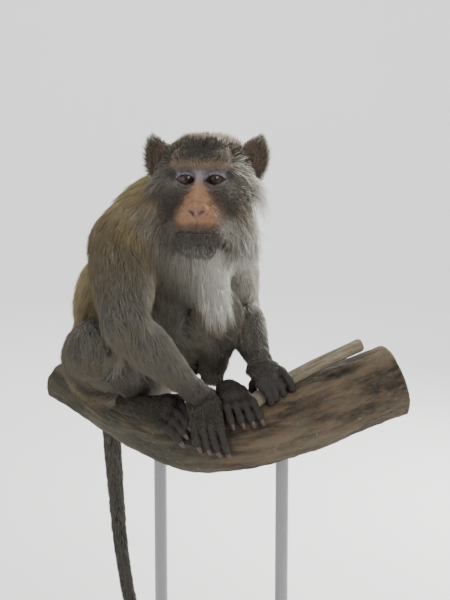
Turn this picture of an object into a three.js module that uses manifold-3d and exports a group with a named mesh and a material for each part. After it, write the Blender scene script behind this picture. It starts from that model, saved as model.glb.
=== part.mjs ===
// A life-size seated long-tailed macaque on a cut length of root, carried by a plain display stand.
// Millimetres, +Z up. The origin is the centre of the stand's underside, and the animal's face looks along -Y.
// Every body form is a field of rounded cones and ellipsoids, blended and then meshed on a grid, or a loft
// along a bone. Neighbouring solids are cut back from each other by a small gap.
import * as THREE from "three";
import { mergeVertices } from "three/addons/utils/BufferGeometryUtils.js";
import Module from "manifold-3d";

const wasm = await Module();
wasm.setup();

// ---------------------------------------------------------------- driving dimensions
const GAP = 0.35; // clearance between touching solids
const PERCH_TOP = 440; // height of the root's upper side under the feet, above the floor
const BASE = { length: 380, width: 300, thickness: 18, corner: 24 };
const ROD = { radius: 7, sinkIntoBase: 9, sinkIntoPerch: 26 };
const BODY_YAW = 32; // degrees that the trunk is turned from the face's direction
const HEAD_YAW = 6; // degrees that the face is turned to the animal's right
const COAT = { back: 18, thickLimb: 13, limb: 9, thinLimb: 5, head: 8 }; // depth of the lying coat

// ---------------------------------------------------------------- small helpers
const v = (x, y, z) => new THREE.Vector3(x, y, z);
const mix = (a, b, t) => a.clone().lerp(b, t);
const shift = (p, ...steps) => steps.reduce((q, [way, by]) => q.addScaledVector(way, by), p.clone());
const radians = THREE.MathUtils.degToRad;
const at = (x, y, z) => v(x, y, z + PERCH_TOP); // a place given from the root's upper side

// ---------------------------------------------------------------- landmarks of the pose
const ahead = v(Math.sin(radians(BODY_YAW)), -Math.cos(radians(BODY_YAW)), 0); // out of the chest
const rightward = v(-Math.cos(radians(BODY_YAW)), -Math.sin(radians(BODY_YAW)), 0); // to its right
const up = v(0, 0, 1);
const HIPS = at(-66, 67, 28);
const SHOULDERS = at(-10, 5, 174);
const EYES = at(26, -77, 237);
const spine = SHOULDERS.clone().sub(HIPS).normalize();

const ARM = {
  right: { shoulder: at(-59, -24, 168), elbow: at(-52, -99, 92), wrist: at(16, -78, 20) },
  left: { shoulder: at(46, 33, 166), elbow: at(64, 80, 84), wrist: at(88, -16, 38) },
};
const LEG = {
  right: { hip: at(-86, 50, 28), knee: at(-85, -77, 60), ankle: at(-46, -12, 8) },
  left: { hip: at(-32, 86, 28), knee: at(40, -21, 90), ankle: at(36, 18, 18) },
};
const TAIL = [
  at(-84, 100, 26), at(-90, 128, 8), at(-92, 150, -40), at(-88, 156, -130),
  at(-80, 152, -230), at(-64, 142, -318), at(-40, 130, -368), at(-6, 122, -384),
];

// ---------------------------------------------------------------- fields: negative inside, in millimetres
const roundCone = (a, ra, b, rb) => {
  const axis = b.clone().sub(a);
  const length2 = axis.lengthSq();
  return (p) => {
    const t = Math.min(1, Math.max(0, p.clone().sub(a).dot(axis) / length2));
    return p.distanceTo(shift(a, [axis, t])) - ra - (rb - ra) * t;
  };
};
const ball = (centre, r) => (p) => p.distanceTo(centre) - r;
const ellipsoid = (centre, rx, ry, rz) => (p) => {
  const q = v((p.x - centre.x) / rx, (p.y - centre.y) / ry, (p.z - centre.z) / rz);
  const k = q.length();
  const g = v(q.x / rx, q.y / ry, q.z / rz).length();
  return g < 1e-9 ? -Math.min(rx, ry, rz) : (k * (k - 1)) / g;
};
const smoothMin = (a, b, k) => {
  const h = Math.max(k - Math.abs(a - b), 0) / k;
  return Math.min(a, b) - (h * h * k) / 4;
};
const blend = (k, ...fields) => (p) => fields.reduce((d, f) => smoothMin(d, f(p), k), 1e3);
const carve = (k, field, tool) => (p) => -smoothMin(-field(p), tool(p), k);
const gradient = (field, p, e = 0.5) =>
  v(
    field(v(p.x + e, p.y, p.z)) - field(v(p.x - e, p.y, p.z)),
    field(v(p.x, p.y + e, p.z)) - field(v(p.x, p.y - e, p.z)),
    field(v(p.x, p.y, p.z + e)) - field(v(p.x, p.y, p.z - e)),
  ).divideScalar(2 * e);
const ontoSurface = (field, p) => {
  const q = p.clone();
  for (let i = 0; i < 2; i++) {
    const g = gradient(field, q);
    q.addScaledVector(g, -field(q) / Math.max(g.lengthSq(), 0.2));
  }
  return q;
};

// Grid lines from the first stop to the last, with the spacing given between each two stops.
const steps = (...stops) => {
  const lines = [stops[0]];
  for (let i = 1; i < stops.length; i += 2) {
    const [from, spacing, to] = [lines[lines.length - 1], stops[i], stops[i + 1]];
    const count = Math.max(1, Math.round((to - from) / spacing));
    for (let k = 1; k <= count; k++) lines.push(from + ((to - from) * k) / count);
  }
  return lines;
};

// Meshes a field's zero surface with one vertex in each cell of a grid that the surface crosses.
function netOf(field, xs, ys, zs) {
  const size = [xs.length, ys.length, zs.length];
  const stride = [1, size[0], size[0] * size[1]];
  const point = (i, j, k) => v(xs[i], ys[j], zs[k]);
  const value = new Float32Array(size[0] * size[1] * size[2]);
  const vertexOf = new Int32Array(value.length).fill(-1);
  const each = (margin, act) => {
    for (let k = 0; k < size[2] - margin; k++)
      for (let j = 0; j < size[1] - margin; j++)
        for (let i = 0; i < size[0] - margin; i++) act(i, j, k, i + j * stride[1] + k * stride[2]);
  };
  each(0, (i, j, k, n) => (value[n] = field(point(i, j, k))));
  const corners = [0, 1, 2, 3, 4, 5, 6, 7].map((c) => [c & 1, (c >> 1) & 1, (c >> 2) & 1]);
  const edges = corners.flatMap((a, m) =>
    corners
      .filter((b, n) => n > m && Math.abs(a[0] - b[0]) + Math.abs(a[1] - b[1]) + Math.abs(a[2] - b[2]) === 1)
      .map((b) => [a, b]),
  );
  const places = [];
  const offset = ([x, y, z]) => x + y * stride[1] + z * stride[2];
  each(1, (i, j, k, n) => {
    const sum = v(0, 0, 0);
    let count = 0;
    for (const [a, b] of edges) {
      const fa = value[n + offset(a)];
      const fb = value[n + offset(b)];
      if (fa < 0 === fb < 0) continue;
      sum.add(mix(point(i + a[0], j + a[1], k + a[2]), point(i + b[0], j + b[1], k + b[2]), fa / (fa - fb)));
      count++;
    }
    if (!count) return;
    vertexOf[n] = places.length;
    const start = sum.divideScalar(count);
    const moved = ontoSurface(field, start);
    places.push(moved.distanceTo(start) < (xs[i + 1] - xs[i]) * 0.5 ? moved : start);
  });
  const index = [];
  each(1, (i, j, k, n) => {
    const here = [i, j, k];
    for (let axis = 0; axis < 3; axis++) {
      const u = (axis + 1) % 3;
      const w = (axis + 2) % 3;
      if (!here[u] || !here[w]) continue;
      const inside = value[n] < 0;
      if (inside === value[n + stride[axis]] < 0) continue;
      const quad = [n, n - stride[u], n - stride[u] - stride[w], n - stride[w]].map((m) => vertexOf[m]);
      if (inside) quad.reverse();
      index.push(quad[0], quad[2], quad[1], quad[0], quad[3], quad[2]);
    }
  });
  return geometryOf(places, index);
}

function geometryOf(places, index) {
  const geometry = new THREE.BufferGeometry();
  geometry.setAttribute("position", new THREE.Float32BufferAttribute(places.flatMap((p) => p.toArray()), 3));
  geometry.setIndex(index);
  return geometry;
}

// ---------------------------------------------------------------- solids: joining, cutting and keeping clear
function solidOf(geometry) {
  const bare = geometry.clone();
  bare.deleteAttribute("normal");
  bare.deleteAttribute("uv");
  const merged = mergeVertices(bare, 1e-3);
  return new wasm.Manifold(
    new wasm.Mesh({
      numProp: 3,
      vertProperties: merged.attributes.position.array,
      triVerts: new Uint32Array(merged.index.array),
    }),
  );
}

function shapeOf(solid) {
  const mesh = solid.getMesh();
  const places = new Float32Array(mesh.numVert * 3);
  for (let i = 0; i < mesh.numVert; i++)
    places.set(mesh.vertProperties.subarray(i * mesh.numProp, i * mesh.numProp + 3), i * 3);
  const geometry = new THREE.BufferGeometry();
  geometry.setAttribute("position", new THREE.BufferAttribute(places, 3));
  geometry.setIndex(Array.from(mesh.triVerts));
  return geometry;
}

// A copy whose surface is moved out by a distance, to cut a neighbour clear of it.
function grown(solid, by) {
  const geometry = shapeOf(solid);
  geometry.computeVertexNormals();
  const { position, normal } = geometry.attributes;
  for (let i = 0; i < position.count; i++) {
    const place = new THREE.Vector3().fromBufferAttribute(position, i);
    const way = new THREE.Vector3().fromBufferAttribute(normal, i);
    position.setXYZ(i, ...place.addScaledVector(way, by).toArray());
  }
  return solidOf(geometry);
}

const largest = (solid) => solid.decompose().reduce((a, b) => (b.volume() > a.volume() ? b : a));
const apart = (a, b) => [0, 1, 2].some((i) => a.min[i] > b.max[i] || a.max[i] < b.min[i]);
const cleared = (solid, tools) =>
  tools
    .filter((tool) => !apart(solid.boundingBox(), tool.boundingBox()))
    .reduce((left, tool) => left.subtract(tool), solid);

const macaque = new THREE.Group();
const nodes = [];

// Adds named solids that are parts of one body, cut back from all the solids that are already there.
function addParts(parts, body, material) {
  const tools = nodes.flatMap((n) => n.clear);
  for (const [name, solid, own] of parts)
    nodes.push({ name, piece: largest(cleared(solid, tools)), material: own ?? material, body, clear: [] });
  nodes[nodes.length - 1].clear.push(grown(body, GAP), body);
}
const add = (name, solid, material) => addParts([[name, solid]], solid, material);

// Joins locks of fur onto a named solid, cut back from all the others.
function addLocks(name, locks) {
  const node = nodes.find((n) => n.name === name);
  const others = nodes.flatMap((n) => {
    if (n === node) return [];
    return n.body === node.body ? [grown(n.piece, GAP), n.piece] : n.clear;
  });
  for (const lock of locks) {
    const free = cleared(lock, others);
    if (free.isEmpty()) continue;
    node.piece = node.piece.add(largest(free));
    node.clear.push(grown(lock, GAP), lock);
  }
  node.piece = largest(node.piece);
}

// ---------------------------------------------------------------- lofts
// A closed tube along a curve. section(t) gives the half width and half height of the ring at t, and the
// ends are closed by short domes.
function loft(points, section, { sides = 12, rings = 8, width = null, dome = 0.7 } = {}) {
  const curve = new THREE.CatmullRomCurve3(points);
  const places = [];
  const stations = [];
  for (let i = 0; i <= rings; i++) stations.push([i / rings, 1, 0]);
  if (dome > 0) {
    stations.unshift([0, 0.72, -0.7 * dome]);
    stations.push([1, 0.72, 0.7 * dome]);
  }
  let side = width ? width.clone() : v(0.3, 0.2, 1).cross(curve.getTangent(0)).normalize();
  for (const [t, share, out] of stations) {
    const along = curve.getTangent(t);
    side = side.addScaledVector(along, -side.dot(along)).normalize();
    const over = along.clone().cross(side);
    const [half, thick] = section(t);
    const centre = shift(curve.getPoint(t), [along, out * Math.min(half, thick)]);
    for (let s = 0; s < sides; s++) {
      const a = (2 * Math.PI * s) / sides;
      places.push(shift(centre, [side, Math.cos(a) * half * share], [over, Math.sin(a) * thick * share]));
    }
  }
  const count = stations.length;
  const index = [];
  for (let r = 0; r < count - 1; r++)
    for (let s = 0; s < sides; s++) {
      const a = r * sides + s;
      const b = r * sides + ((s + 1) % sides);
      index.push(a, b, a + sides, b, b + sides, a + sides);
    }
  const capAt = (ring, out, flip) => {
    const [t, , push] = stations[ring];
    const [half, thick] = section(t);
    const reach = (push + out * 0.35 * dome) * Math.min(half, thick);
    const pole = shift(curve.getPoint(t), [curve.getTangent(t), reach]);
    const n = places.length;
    places.push(pole);
    for (let s = 0; s < sides; s++) {
      const a = ring * sides + s;
      const b = ring * sides + ((s + 1) % sides);
      if (flip) index.push(n, b, a);
      else index.push(n, a, b);
    }
  };
  capAt(0, -1, true);
  capAt(count - 1, 1, false);
  return solidOf(geometryOf(places, index));
}

// A size that eases from stop to stop along a form: each stop is [share of the length, size].
const ramp = (stops) => (t) => {
  const next = stops.findIndex(([s]) => s > t);
  const k = next < 0 ? stops.length - 2 : Math.max(0, next - 1);
  const [a, b] = [stops[k], stops[k + 1]];
  const share = Math.min(1, Math.max(0, (t - a[0]) / (b[0] - a[0])));
  return a[1] + (b[1] - a[1]) * (share * share * (3 - 2 * share));
};
const round = (profile) => (t) => [profile(t), profile(t)];

// ---------------------------------------------------------------- materials
const finish = (color, roughness, metalness = 0) =>
  new THREE.MeshStandardMaterial({ color, roughness, metalness });
const agouti = finish("#6f675a", 0.9);
const paleFur = finish("#a9a49a", 0.9);
const greyFur = finish("#5f5b55", 0.9);
const darkSkin = finish("#2c2829", 0.7);
const earSkin = finish("#4a3c3a", 0.7);
const eyeGlass = finish("#3a2412", 0.1);
const bark = finish("#5e4a36", 0.85);
const twigBark = finish("#7b6f60", 0.85);
const basePaint = finish("#1f1f20", 0.5);
const steel = finish("#9a9a9c", 0.35, 0.9);

// ---------------------------------------------------------------- perch and stand
const perchCurve = new THREE.CatmullRomCurve3([
  at(-150, 136, -14), at(-100, 95, -34), at(-48, 25, -42), at(5, -29, -44),
  at(60, -45, -38), at(120, -33, -24), at(185, -11, -4), at(236, 4, 12),
]);
const perchRadius = ramp([[0, 25], [0.14, 25], [0.32, 31], [0.5, 39], [0.66, 41], [0.85, 41], [1, 42]]);
const perchField = (() => {
  const stations = Array.from({ length: 41 }, (_, i) => [perchCurve.getPoint(i / 40), perchRadius(i / 40)]);
  const lengths = stations.slice(1).map(([b, rb], i) => roundCone(stations[i][0], stations[i][1], b, rb));
  return (p) => Math.min(...lengths.map((f) => f(p)));
})();
const twigPoints = [at(72, -70, -2), at(100, -50, 13), at(150, -30, 36), at(198, -12, 55)];
const twigRadius = ramp([[0, 8.5], [1, 7.5]]);

function rodAt(x, y) {
  const top = at(x, y, -40);
  while (perchField(top) < -2) top.z -= 1;
  const low = BASE.thickness - ROD.sinkIntoBase;
  const high = top.z + ROD.sinkIntoPerch;
  const rod = new THREE.CylinderGeometry(ROD.radius, ROD.radius, high - low, 12);
  rod.rotateX(Math.PI / 2);
  rod.translate(x, y, (low + high) / 2);
  return solidOf(rod);
}

function baseBoard() {
  const { length, width, thickness, corner } = BASE;
  const [x, y] = [length / 2, width / 2];
  const outline = new THREE.Shape();
  outline.moveTo(-x + corner, -y);
  outline.lineTo(x - corner, -y);
  outline.absarc(x - corner, -y + corner, corner, -Math.PI / 2, 0);
  outline.absarc(x - corner, y - corner, corner, 0, Math.PI / 2);
  outline.absarc(-x + corner, y - corner, corner, Math.PI / 2, Math.PI);
  outline.absarc(-x + corner, -y + corner, corner, Math.PI, 1.5 * Math.PI);
  const settings = { depth: thickness, bevelEnabled: false, curveSegments: 4 };
  return solidOf(new THREE.ExtrudeGeometry(outline, settings));
}

add("stand_rod_left", rodAt(-22, -2), steel);
add("stand_rod_right", rodAt(112, -35), steel);
add("stand_base", baseBoard(), basePaint);
add("perch", loft(perchCurve.points, round(perchRadius), { sides: 14, rings: 12, dome: 0 }), bark);
add("perch_twig", loft(twigPoints, round(twigRadius), { sides: 8, rings: 5, dome: 0.4 }), twigBark);

// ---------------------------------------------------------------- head, in its own frame
// x runs to the animal's left, y out of the face, z up, and the origin lies midway between the eyes.
const headFrame = new THREE.Matrix4()
  .makeBasis(
    v(Math.cos(radians(HEAD_YAW)), -Math.sin(radians(HEAD_YAW)), 0),
    v(-Math.sin(radians(HEAD_YAW)), -Math.cos(radians(HEAD_YAW)), 0),
    v(0, 0, 1),
  )
  .setPosition(EYES);
const EAR = { half: 14, deep: 7, tall: 24, rim: 3, point: 4, out: 50, back: -38, high: 21 };
const FACE = { eyeApart: 15, eyeRadius: 9, eyeDepth: 1, lid: 1.6, mouthHalf: 24 };
const both = (make) => [make(-1), make(1)];

function headField() {
  const c = COAT.head;
  const skull = ellipsoid(v(0, -36, 4), 37 + c, 47 + c, 36.5 + c);
  const brow = roundCone(v(-18, 8, 13), 9 + c * 0.3, v(18, 8, 13), 9 + c * 0.3);
  const cheeks = both((s) => roundCone(v(s * 20, 6, -13), 11 + c * 0.2, v(s * 33, -16, -10), 10 + c * 0.9));
  const chewing = both((s) => roundCone(v(s * 25, -6, -24), 13 + c * 0.7, v(s * 25, -22, -38), 13 + c * 1.4));
  const midFace = roundCone(v(0, 4, -8), 16, v(0, 22, -34), 18);
  const muzzle = both((s) => roundCone(v(s * 9, 8, -36), 17, v(s * 8.5, 29, -42), 14.5));
  const nose = roundCone(v(0, 12, -1), 6, v(0, 36, -26), 6.5);
  const wings = both((s) => ball(v(s * 5, 38, -28), 4.6));
  const chin = roundCone(v(-6, 27, -58), 11 + c * 0.2, v(6, 27, -58), 11 + c * 0.2);
  const jaws = both((s) => roundCone(v(s * 8, 22, -56), 12 + c * 0.3, v(s * 25, -20, -42), 13 + c));
  const throat = roundCone(v(0, 2, -46), 20 + c * 0.5, v(0, -38, -30), 34 + c);
  const bulk = blend(10, skull, brow, ...cheeks, ...chewing, midFace, ...jaws, throat, chin);
  const face = blend(6, bulk, ...muzzle, nose);
  const whole = blend(3, face, ...wings);
  const sockets = both((s) => ball(v(s * 16, 15.5, -0.5), 10.5));
  return sockets.reduce((field, socket) => carve(5, field, socket), whole);
}

// The almond between the lids, as a prism along y.
function fissure(side) {
  const { eyeApart, eyeDepth } = FACE;
  const outline = new THREE.Shape();
  const [half, rise, fall] = [7.6, 3.6, 2.6];
  outline.moveTo(-half, -0.6);
  outline.quadraticCurveTo(0, -0.6 - 2 * fall, half, 0.4);
  outline.quadraticCurveTo(0, 0.4 + 2 * rise, -half, -0.6);
  const prism = new THREE.ExtrudeGeometry(outline, { depth: 24, bevelEnabled: false, curveSegments: 4 });
  prism.rotateX(Math.PI / 2);
  prism.translate(side * eyeApart, eyeDepth + 26, 0);
  return solidOf(prism);
}

const roundBall = (centre, r, wide = 14, high = 8) => {
  const geometry = new THREE.SphereGeometry(r, wide, high);
  geometry.translate(centre.x, centre.y, centre.z);
  return solidOf(geometry);
};

function mouthCut() {
  const { mouthHalf } = FACE;
  const points = [-1, -0.7, -0.35, 0, 0.35, 0.7, 1].map((t) =>
    v(t * mouthHalf, 45 - 27 * t * t, -51 + 3 * t * t),
  );
  const section = (t) => [5 - 3 * Math.abs(2 * t - 1), 0.9];
  return loft(points, section, { sides: 4, rings: 7, width: v(0, 1, 0), dome: 0.3 });
}

function lip(height, reach, thick) {
  const points = [-0.82, -0.5, 0, 0.5, 0.82].map((t) => v(t * 22, reach - 25 * t * t, height + 2 * t * t));
  const section = (t) => [thick, thick * (1 - 0.5 * Math.abs(2 * t - 1))];
  return loft(points, section, { sides: 6, rings: 6, dome: 0.5 });
}

function nostril(side) {
  const slit = new THREE.SphereGeometry(1, 6, 5);
  slit.scale(1.7, 4, 2.4);
  slit.rotateY(side * 0.7);
  slit.translate(side * 4.2, 41.5, -30.5);
  return solidOf(slit);
}

function headSolid() {
  // the grid is finer over the face than over the back of the head
  const across = steps(-66, 12, -30, 6.7, 30, 12, 66);
  const deep = steps(-108, 16, -12, 6.7, 60);
  const high = steps(-92, 7.4, 20, 11, 68);
  const bulk = solidOf(netOf(headField(), across, deep, high));
  const { eyeApart, eyeDepth, eyeRadius, lid } = FACE;
  let head = largest(bulk).add(lip(-47.6, 43.5, 3.2)).add(lip(-54.4, 41.5, 3));
  for (const side of [-1, 1]) {
    const lids = roundBall(v(side * eyeApart, eyeDepth, 0), eyeRadius + lid, 12, 8).subtract(fissure(side));
    head = head.subtract(fissure(side)).add(lids);
    head = head.subtract(nostril(side));
  }
  return head.subtract(mouthCut());
}

function earSolid(side) {
  // a shallow cup, drawn to a blunt point at its upper outer edge and hollowed from the front
  const { half, deep, tall, rim, point } = EAR;
  const shape = (geometry, x, y, z) => {
    geometry.scale(x, y, z);
    const place = geometry.attributes.position;
    for (let i = 0; i < place.count; i++) {
      const rise = Math.max(0, place.getZ(i) / z);
      place.setX(i, place.getX(i) * (1 - 0.4 * rise ** 3) + side * point * rise ** 2);
    }
    return geometry;
  };
  const blade = shape(new THREE.SphereGeometry(1, 10, 7), half, deep, tall);
  const hollow = shape(new THREE.SphereGeometry(1, 8, 6), half - rim, deep, tall - rim * 1.4);
  hollow.translate(side * 1.2, deep * 0.85, 1);
  const turn = (geometry) => {
    geometry.rotateX(0.12);
    geometry.rotateY(side * 0.2);
    geometry.rotateZ(side * -0.5);
    geometry.translate(side * EAR.out, EAR.back, EAR.high);
    return solidOf(geometry);
  };
  return turn(blade).subtract(turn(hollow));
}

const inHead = (solid) => solid.transform(headFrame.toArray());
for (const [name, side] of [["eye_right", -1], ["eye_left", 1]])
  add(name, inHead(roundBall(v(side * FACE.eyeApart, FACE.eyeDepth, 0), FACE.eyeRadius, 12, 7)), eyeGlass);
add("head", inHead(headSolid()), agouti);
for (const [name, side] of [["ear_right", -1], ["ear_left", 1]]) add(name, inHead(earSolid(side)), earSkin);

// ---------------------------------------------------------------- trunk and neck
function trunkField() {
  const c = COAT.back;
  const middle = shift(mix(HIPS, SHOULDERS, 0.45), [ahead, -8]);
  const loin = roundCone(shift(HIPS, [rightward, 15]), 44 + c, shift(HIPS, [rightward, -15]), 44 + c);
  const belly = roundCone(shift(HIPS, [ahead, 12], [up, 12]), 46 + c, middle, 60 + c);
  const ribs = roundCone(middle, 60 + c, shift(SHOULDERS, [ahead, 4], [up, -12]), 54 + c);
  const girdle = roundCone(
    shift(SHOULDERS, [rightward, 40], [up, -4]), 31 + c, shift(SHOULDERS, [rightward, -40], [up, -4]), 31 + c,
  );
  const withers = ball(shift(SHOULDERS, [ahead, -14], [up, 8]), 46 + c);
  const nape = roundCone(shift(SHOULDERS, [up, 10]), 42 + c, at(15, -22, 214), 31 + c * 0.7);
  const bib = roundCone(at(20, -34, 156), 24 + c, at(37, -46, 112), 9 + c);
  return blend(22, loin, belly, ribs, girdle, withers, nape, bib);
}

const trunk = solidOf(
  netOf(trunkField(), steps(-190, 19, 134), steps(-118, 18, 170), steps(PERCH_TOP - 70, 19, PERCH_TOP + 290)),
);
const levelAt = (share) => spine.dot(mix(HIPS, SHOULDERS, share));
const waist = levelAt(0.36);
const neckLine = levelAt(1.22);
const above = (solid, level) => solid.trimByPlane(spine.toArray(), level + GAP / 2);
const below = (solid, level) => solid.trimByPlane(spine.clone().negate().toArray(), -level + GAP / 2);
addParts(
  [
    ["neck", above(trunk, neckLine)],
    ["chest", below(above(trunk, waist), neckLine), paleFur],
    ["loin", below(trunk, waist)],
  ],
  trunk,
  agouti,
);

// ---------------------------------------------------------------- limbs
const bone = (from, to, radius) => loft([from, mix(from, to, 0.5), to], round(radius), { rings: 6 });
for (const [side, arm] of Object.entries(ARM)) {
  const upper = ramp([[0, 29], [0.3, 29], [1, 19]]);
  const lower = ramp([[0, 15], [0.25, 19.5], [1, 11.5]]);
  const coatUpper = ramp([[0, COAT.thickLimb], [1, COAT.limb]]);
  const coatLower = ramp([[0, COAT.limb], [1, COAT.thinLimb]]);
  add(`upper_arm_${side}`, bone(arm.shoulder, arm.elbow, (t) => upper(t) + coatUpper(t)), agouti);
  add(`forearm_${side}`, bone(arm.elbow, arm.wrist, (t) => lower(t) + coatLower(t)), greyFur);
}
for (const [side, leg] of Object.entries(LEG)) {
  const thigh = ramp([[0, 36], [0.35, 37], [1, 24]]);
  const shin = ramp([[0, 17], [0.3, 22], [0.75, 14], [1, 12]]);
  const coatThigh = ramp([[0, COAT.thickLimb], [1, COAT.limb]]);
  const coatShin = ramp([[0, COAT.limb], [1, COAT.thinLimb]]);
  add(`thigh_${side}`, bone(leg.hip, leg.knee, (t) => thigh(t) + coatThigh(t)), agouti);
  add(`shin_${side}`, bone(leg.knee, leg.ankle, (t) => shin(t) + coatShin(t)), greyFur);
}

// ---------------------------------------------------------------- hands and feet
// Places on a branch: along its curve, round it from its top towards the viewer, and out from its bark.
function onBranch(curve, radiusAt, along, degrees, height) {
  const axis = curve.getTangent(along);
  const top = shift(up, [axis, -axis.dot(up)]).normalize();
  const front = axis.clone().cross(top);
  const out = shift(v(0, 0, 0), [top, Math.cos(radians(degrees))], [front, Math.sin(radians(degrees))]);
  return shift(curve.getPoint(along), [out, radiusAt(along) + height]);
}
const onPerch = (along, degrees, height) => onBranch(perchCurve, perchRadius, along, degrees, height);
const twigCurve = new THREE.CatmullRomCurve3(twigPoints);
const onTwig = (along, degrees, height) => onBranch(twigCurve, twigRadius, along, degrees, height);

const digit = (points, thick) => {
  const radius = ramp([[0, thick * 1.1], [0.45, thick], [1, thick * 0.78]]);
  return loft(points, round(radius), { sides: 5, rings: 3, dome: 1 });
};

// A palm or sole between two places, flat to the surface under it, and its five digits.
function paw(points, side, half, thick, digits, digitRadius) {
  let solid = loft(points, (t) => [half(t), thick(t)], { sides: 8, rings: 3, width: side, dome: 0.8 });
  for (const path of digits) solid = solid.add(digit(path, digitRadius));
  return solid;
}

const palmHalf = ramp([[0, 11], [0.5, 15], [1, 17]]);
const palmThick = ramp([[0, 9], [0.5, 8.5], [1, 7]]);
const soleHalf = ramp([[0, 11], [0.5, 12.5], [1, 15]]);
const soleThick = ramp([[0, 11], [0.5, 9], [1, 7]]);

// the right hand lies on the front of the perch with its fingers hanging down
add(
  "hand_right",
  paw(
    [ARM.right.wrist, onPerch(0.502, 22, 15), onPerch(0.516, 38, 9)],
    v(1, -0.25, 0), palmHalf, palmThick,
    [
      ...[0, 1, 2, 3].map((i) => [
        onPerch(0.496 + 0.012 * i, 32, 9), onPerch(0.498 + 0.0135 * i, 56 + 3 * i, 9.5),
        onPerch(0.502 + 0.0135 * i, 76 + 3 * i, 6.5), onPerch(0.506 + 0.0135 * i, 88 + 4 * i, 4.6),
      ]),
      [onPerch(0.49, 8, 15), onPerch(0.51, -4, 11), onPerch(0.528, -12, 6)],
    ],
    4.8,
  ),
  darkSkin,
);
// the left hand closes over the twig
add(
  "hand_left",
  paw(
    [ARM.left.wrist, onTwig(0.3, 0, 16), onTwig(0.36, 20, 9)],
    v(0.85, 0.5, 0.1), palmHalf, palmThick,
    [
      ...[0, 1, 2, 3].map((i) => [
        onTwig(0.22 + 0.07 * i, 20, 9), onTwig(0.23 + 0.07 * i, 62, 7.5),
        onTwig(0.235 + 0.07 * i, 108, 5.2), onTwig(0.24 + 0.07 * i, 150, 5),
      ]),
      [onTwig(0.24, -20, 12), onTwig(0.19, -40, 8), onTwig(0.15, -10, 6)],
    ],
    4.4,
  ),
  darkSkin,
);
// the feet stand on the perch, their toes bent over its front
add(
  "foot_right",
  paw(
    [onPerch(0.31, 42, 11.5), onPerch(0.37, 40, 11), onPerch(0.43, 38, 9)],
    v(0.6, -0.6, -0.7), soleHalf, soleThick,
    [
      ...[0, 1, 2, 3].map((i) => [
        onPerch(0.42 + 0.006 * i, 56 - 11 * i, 7), onPerch(0.44 + 0.007 * i, 62 - 9 * i, 7.4),
        onPerch(0.459 + 0.007 * i, 72 - 8 * i, 5.8), onPerch(0.471 + 0.007 * i, 82 - 8 * i, 5),
      ]),
      [onPerch(0.365, 26, 11), onPerch(0.41, 8, 8.5), onPerch(0.44, 2, 6)],
    ],
    4.8,
  ),
  darkSkin,
);
add(
  "foot_left",
  paw(
    [onPerch(0.56, -46, 12), onPerch(0.568, -14, 11), onPerch(0.578, 20, 9)],
    v(1, 0.1, 0), soleHalf, soleThick,
    [
      ...[0, 1, 2, 3].map((i) => [
        onPerch(0.562 + 0.0125 * i, 14, 7), onPerch(0.564 + 0.0135 * i, 36, 7.4),
        onPerch(0.567 + 0.0135 * i, 52, 5.8), onPerch(0.569 + 0.0135 * i, 64, 5),
      ]),
      [onPerch(0.575, -16, 11), onPerch(0.61, -10, 8), onPerch(0.628, -4, 6)],
    ],
    4.8,
  ),
  darkSkin,
);

// ---------------------------------------------------------------- tail, in three lengths
const tailRadius = ramp([[0, 17], [0.25, 13.5], [0.7, 10], [1, 5.5]]);
const tailCurve = new THREE.CatmullRomCurve3(TAIL);
for (const [name, from, to] of [["tail_base", 0, 0.36], ["tail_middle", 0.36, 0.7], ["tail_tip", 0.7, 1]]) {
  const stops = [0, 0.25, 0.5, 0.75, 1].map((t) => from + (to - from) * t);
  const radius = round((t) => tailRadius(from + (to - from) * t));
  const dome = to === 1 ? 0.9 : 0.25;
  add(name, loft(stops.map((t) => tailCurve.getPoint(t)), radius, { sides: 9, rings: 5, dome }), greyFur);
}

// ---------------------------------------------------------------- locks of long fur
const LOCK = { rings: [0, 0.35, 0.7], share: [0.85, 1, 0.66], sink: 8, lift: 3, jitter: 0.18 };
let seed = 7;
const random = () => {
  // a small repeatable generator, so that the coat comes out the same each time
  seed = (seed * 48271) % 2147483647;
  return seed / 2147483647;
};
const vary = (size, by = LOCK.jitter) => size * (1 + by * (2 * random() - 1));

// A flat tapered lock: it starts under the surface, follows its lie and droops to a point.
function lock(root, lie, out, { length, half, thick, droop }) {
  const along = lie.clone().normalize();
  const over = shift(out, [along, -out.dot(along)]).normalize();
  const across = over.clone().cross(along);
  const [long, wide, deep] = [vary(length), vary(half), vary(thick)];
  const centre = (t) =>
    shift(
      root,
      [along, t * long - LOCK.sink * 0.4],
      [over, LOCK.lift * Math.sin(2.6 * t) - LOCK.sink * (1 - t) ** 3],
      [up, -droop * long * t * t],
    );
  const section = [[1, 0], [0.3, 0.9], [-0.5, 1], [-1, 0], [0, -0.8]];
  const places = LOCK.rings.flatMap((t, i) =>
    section.map(([x, y]) =>
      shift(centre(t), [across, x * wide * LOCK.share[i]], [over, y * deep * LOCK.share[i]]),
    ),
  );
  const sides = section.length;
  const tip = places.length;
  places.push(centre(1));
  const index = [];
  for (let s = 0; s < sides; s++) {
    const next = (s + 1) % sides;
    for (let r = 0; r < LOCK.rings.length - 1; r++) {
      const [a, b] = [r * sides + s, r * sides + next];
      index.push(a, b, a + sides, b, b + sides, a + sides);
    }
    const last = (LOCK.rings.length - 1) * sides;
    index.push(last + s, last + next, tip);
    if (s > 1) index.push(0, s, s - 1);
  }
  return solidOf(geometryOf(places, index));
}

// Where a line from a start along a way first meets a field's surface, or null.
function meet(field, start, way) {
  const p = start.clone();
  for (let i = 0; i < 60 && field(p) > 0.05; i++) p.addScaledVector(way, Math.max(field(p) * 0.8, 0.1));
  return field(p) < 1 ? p : null;
}

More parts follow.
